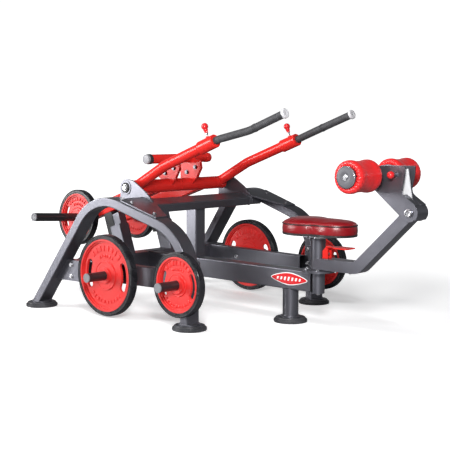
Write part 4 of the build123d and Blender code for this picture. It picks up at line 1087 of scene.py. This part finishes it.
def add_lever(side, sign):
    """Welds, rubbers, band peg ends, grip knob, sleeve lips, cuffs and cap of one lever."""
    turn = joints[f"{side}_grip_turn"]
    mouth = Vector(turn["pos_m"])
    axis = Vector(turn["axis"]).normalized()
    if axis.x < 0:
        axis = -axis
    lever = f"{side}_lever"
    grip = f"{side}_grip"
    pivot = Vector(joints[f"{side}_lever_swing"]["pos_m"])
    arm_y = mouth.y
    beads = Build()
    weld(beads, circle_path(mouth - axis * (112.5 * MM), axis, 31 * MM), 3.0 * MM)
    lower = radians(28)
    lower_axis = Vector((cos(lower), 0, sin(lower)))
    saddle = []
    u, v = axes_of(lower_axis)
    for k in range(72):
        angle = tau * k / 72
        ring = (u * cos(angle) + v * sin(angle)) * (29.6 * MM)
        base = Vector((pivot.x, arm_y, pivot.z)) + ring
        across = base - pivot - Y * (base - pivot).y
        rise = across - lower_axis * across.dot(lower_axis)
        reach = sqrt(max(0.0, PIVOT_TUBE_RADIUS ** 2 - rise.length_squared))
        saddle.append(Vector((pivot.x, base.y, pivot.z)) + rise + lower_axis * reach)
    weld(beads, saddle, 3.2 * MM)
    rear_axis = Vector((-cos(STOP_TILT), 0, -sin(STOP_TILT)))
    rear_up = Vector((-sin(STOP_TILT), 0, cos(STOP_TILT)))
    inner = Vector((pivot.x, sign * LEVER_Y, pivot.z)) + rear_axis * PIVOT_TUBE_RADIUS
    weld(beads, rectangle_path(inner, Y, rear_up, 60 * MM, 76 * MM), 3.0 * MM)
    beads.piece(f"{lever}_welds", WELD_RED, lever, "red_paint")

    horn = joints[f"{side}_lever_plate_slide"]
    horn_axis = Vector(horn["axis"]).normalized()
    horn_centre = Vector((pivot.x, 0, pivot.z)) + rear_axis * LEVER_HORN_REACH
    foot = horn_centre + Y * (sign * LEVER_HORN_FOOT)
    tip = foot + horn_axis * LEVER_HORN_LENGTH
    caps = Build()
    hoop(caps, tip + horn_axis * (4.6 * MM), horn_axis, 23.3, 1.6, 64)
    hoop(caps, tip + horn_axis * (6 * MM), horn_axis, 15, 1.2, 64)
    peg = Vector((pivot.x, sign * 250 * MM, pivot.z + 155 * MM))
    outward = Y * sign
    caps.piece(f"{lever}_rubbers", MATERIALS["black_rubber"], lever, "black_rubber")
    band = Build()
    ring = [(-25, 26.9), (-24, 29.0), (-22, 29.6), (-3, 29.6), (-1, 29.0), (0, 26.9)]
    revolve(band, peg, outward, in_mm(ring), 64)
    band_material = MATERIALS["black_rubber"] if sign < 0 else MATERIALS["red_paint"]
    band.piece(f"{side}_peg_band", band_material, lever, "black_rubber")
    lid = Build()
    dome = [(0.5, 27.6), (8, 27.6), (11.4, 25.6), (12.6, 21), (13.2, 10), (13.4, 0.4), (0.5, 0.4)]
    revolve(lid, peg, outward, in_mm(dome), 64)
    lid_material = CAP_GREY if sign < 0 else MATERIALS["red_paint"]
    lid.piece(f"{side}_peg_cap", lid_material, lever, "cap_plastic")

    pin_up = Vector((-axis.z, 0, axis.x))
    pin_foot = mouth - axis * (45 * MM)
    handle = Build()
    knob(handle, pin_foot + pin_up * (97 * MM), pin_up, KNOB_RADIUS)
    sleeve = [(60, 7.2), (61, 9.0), (64, 9.6), (70, 9.6), (74, 11.8), (80, 12.6), (83, 7.4)]
    revolve(handle, pin_foot, pin_up, in_mm(sleeve), 40)
    handle.piece(f"{side}_grip_knob", KNOB_RED, f"{grip}_pin", "knob_plastic")

    collar = Build()
    hoop(collar, mouth, axis, 33.6, 2.2, 64)
    hoop(collar, mouth - axis * (110 * MM), axis, 35.4, 1.2, 64)
    collar.piece(f"{side}_sleeve_lips", MATERIALS["red_paint"], lever, "red_paint")

    side_way = (Y * -sign) * cos(GRIP_DROOP) - pin_up * sin(GRIP_DROOP)
    end = mouth + axis * GRIP_REACH + side_way * GRIP_OFFSET
    cuffs = Build()
    for station in (-2.5, -196, -204):
        hoop(cuffs, end + axis * (station * MM), axis, 20.6, 1.6, 48)
    cuffs.piece(f"{side}_grip_cuffs", MATERIALS["black_rubber"], grip, "grip_rubber")
    cap = Build()
    face = [(0.2, 21.2), (0.2, 25.6), (11.6, 25.6), (13.4, 24.0), (14.0, 20.6)]
    face += [(14.0, 3.4), (13.3, 2.6), (13.3, 0.4)]
    revolve(cap, end, axis, in_mm(face), 64)
    # painted reflection: the plated end face is coloured light grey
    cap.piece(f"{side}_grip_end_face", CAP_PAINTED_REFLECTION, grip, "plated_steel")


def add_thigh_details():
    """Knob of the thigh pin, bolt faces, pivot seals, roller discs, axle housing welds."""
    low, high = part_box("thigh_pin")
    centre = Vector(((low.x + high.x) / 2, low.y + 16 * MM, (low.z + high.z) / 2))
    handle = Build()
    knob(handle, centre, -Y, KNOB_RADIUS, 0.9)
    sleeve = [(-16.6, 9.2), (-16, 11.6), (-13, 12.2), (-11.5, 9.2)]
    revolve(handle, centre, -Y, in_mm(sleeve), 40)
    handle.piece("thigh_pin_knob", KNOB_RED, "thigh_pin", "knob_plastic")
    bolt = middle_of("thigh_pivot_bolt")
    half = size_of("thigh_pivot_bolt").y / 2
    axle = middle_of("roller_axle")
    beads = Build()
    heads = Build()
    seals = Build()
    discs = Build()
    axle_half = size_of("roller_axle").y / 2
    shaft = middle_of("pivot_end_bolts")
    shaft_half = size_of("pivot_end_bolts").y / 2
    for _, sign in SIDES:
        outward = Y * sign
        seal = shaft + outward * (shaft_half - 10 * MM)
        ring = [(-4.2, 17.5), (0.6, 17.5), (1.4, 19.0), (1.4, 27.0), (0.4, 29.0), (-4.2, 29.0)]
        revolve(seals, seal, outward, in_mm(ring), 64)
        face = bolt + outward * half
        ring = [(0.0, 19.4), (1.4, 18.6), (2.0, 16.5), (2.0, 9.5), (0.6, 8.0), (-2.0, 8.0)]
        revolve(heads, face, outward, in_mm(ring + [(-2, 19.4)]), 64)
        weld(beads, circle_path(axle + outward * (51 * MM), Y, 23.2 * MM), 2.6 * MM)
        face = axle + outward * (axle_half - 9 * MM)
        ring = [(-4, 16), (1.2, 16), (2.6, 18), (3.4, 30), (2.6, 44), (0.6, 52), (-3, 54.8)]
        revolve(discs, face, outward, in_mm(ring + [(-7, 54.8)]), 96)
    discs.piece("roller_end_discs", DISC_GREY, body_with("roller_axle"), "plated_steel")
    heads.piece("thigh_bolt_faces", MATERIALS["plated_steel"], "frame", "plated_steel")
    seals.piece("pivot_seals", MATERIALS["black_rubber"], "frame", "black_rubber")
    beads.piece("thigh_bracket_welds", WELD_DARK, "thigh_bracket", "frame_paint")


for side, sign in SIDES:
    add_lever(side, sign)
add_thigh_details()


# ---- floor, camera and light --------------------------------------------------------

def add_floor():
    """A white floor that fades into the white behind it and takes soft shadows."""
    mesh = bpy.data.meshes.new("floor")
    reach = 40
    corners = [(-reach, -reach, 0), (reach, -reach, 0), (reach, reach, 0), (-reach, reach, 0)]
    mesh.from_pydata(corners, [], [(0, 1, 2, 3)])
    s = Shader("floor_white")
    distance = s.node("ShaderNodeVectorMath", {"operation": "LENGTH"})
    s.feed(distance.inputs[0], s.place)
    glow = s.levels(distance.outputs["Value"], 1.0, 4.5, 0.42, 1.2)
    seen = s.node("ShaderNodeLightPath").outputs["Is Camera Ray"]
    tone = s.blend(s.noise(1.5, 3, 0.5), (0.86, 0.86, 0.87), (0.90, 0.90, 0.90))
    dim = s.blend(seen, (0.30, 0.30, 0.31), tone)
    floor_material = s.finish(
        Base_Color=dim,
        Roughness=0.5,
        Specular_IOR_Level=0.2,
        Emission_Color=(1, 1, 1),
        Emission_Strength=s.times(glow, seen),
    )
    mesh.materials.append(floor_material)
    placed_object("floor", mesh)


def add_camera():
    """The viewpoint: azimuth and pitch of the lens axis, and where it stands."""
    azimuth, pitch, roll = radians(42.15), radians(-5.79), radians(0.18)
    data = bpy.data.cameras.new("camera")
    data.lens = 79.6
    data.sensor_width = 36
    camera = placed_object("camera", data)
    turn = (
        Matrix.Rotation(azimuth, 4, "Z")
        @ Matrix.Rotation(pi / 2 + pitch, 4, "X")
        @ Matrix.Rotation(roll, 4, "Z")
    )
    camera.matrix_world = Matrix.Translation((3.3034, -4.1803, 1.0617)) @ turn
    bpy.context.scene.camera = camera


def add_light(name, place, target, width, height, power):
    """A soft box at a place, turned to a target."""
    data = bpy.data.lights.new(name, "AREA")
    data.shape = "RECTANGLE"
    data.size, data.size_y = width, height
    data.energy = power
    light = placed_object(name, data)
    light.location = place
    away = (Vector(place) - Vector(target)).to_track_quat("Z", "Y")
    light.rotation_mode = "QUATERNION"
    light.rotation_quaternion = away
    light.visible_camera = False


def add_world():
    """White behind the object for the camera; for reflections, a pale band round a dark room."""
    world = bpy.data.worlds.new("studio")
    bpy.context.scene.world = world
    world.use_nodes = True
    tree = world.node_tree
    tree.nodes.clear()
    kinds = ("LightPath", "TexCoord", "SeparateXYZ", "MapRange", "Background", "Background")
    path, direction, split, band, seen, lit = (
        tree.nodes.new(f"ShaderNode{kind}") for kind in kinds
    )
    mix = tree.nodes.new("ShaderNodeMixShader")
    out = tree.nodes.new("ShaderNodeOutputWorld")
    low, high, near_level, far_level = 0.05, 0.65, 0.34, 0.05
    for key, number in zip(RANGE_ENDS, (low, high, near_level, far_level)):
        band.inputs[key].default_value = number
    seen.inputs["Color"].default_value = (1, 1, 1, 1)
    seen.inputs["Strength"].default_value = 1.05
    lit.inputs["Color"].default_value = (0.93, 0.95, 1.0, 1)
    for start, end in (
        (direction.outputs["Generated"], split.inputs[0]),
        (split.outputs["Z"], band.inputs["Value"]),
        (band.outputs["Result"], lit.inputs["Strength"]),
        (path.outputs["Is Camera Ray"], mix.inputs[0]),
        (lit.outputs[0], mix.inputs[1]),
        (seen.outputs[0], mix.inputs[2]),
        (mix.outputs[0], out.inputs[0]),
    ):
        tree.links.new(start, end)


add_floor()
add_camera()
add_world()
middle = (cad_low + cad_high) / 2
add_light("key", (-5.5, -5.0, 1.7), middle, 2.4, 2.4, 430)
add_light("top", (-0.9, -1.8, 4.6), middle, 2.6, 0.5, 80)
add_light("rollers", (2.0, -2.6, 1.7), (0.55, 0.0, 0.8), 0.55, 0.55, 125)
add_light("front", (3.2, -5.2, 3.4), middle, 1.6, 1.6, 90)
scene = bpy.context.scene
scene.view_settings.view_transform = "Standard"
scene.view_settings.look = "None"
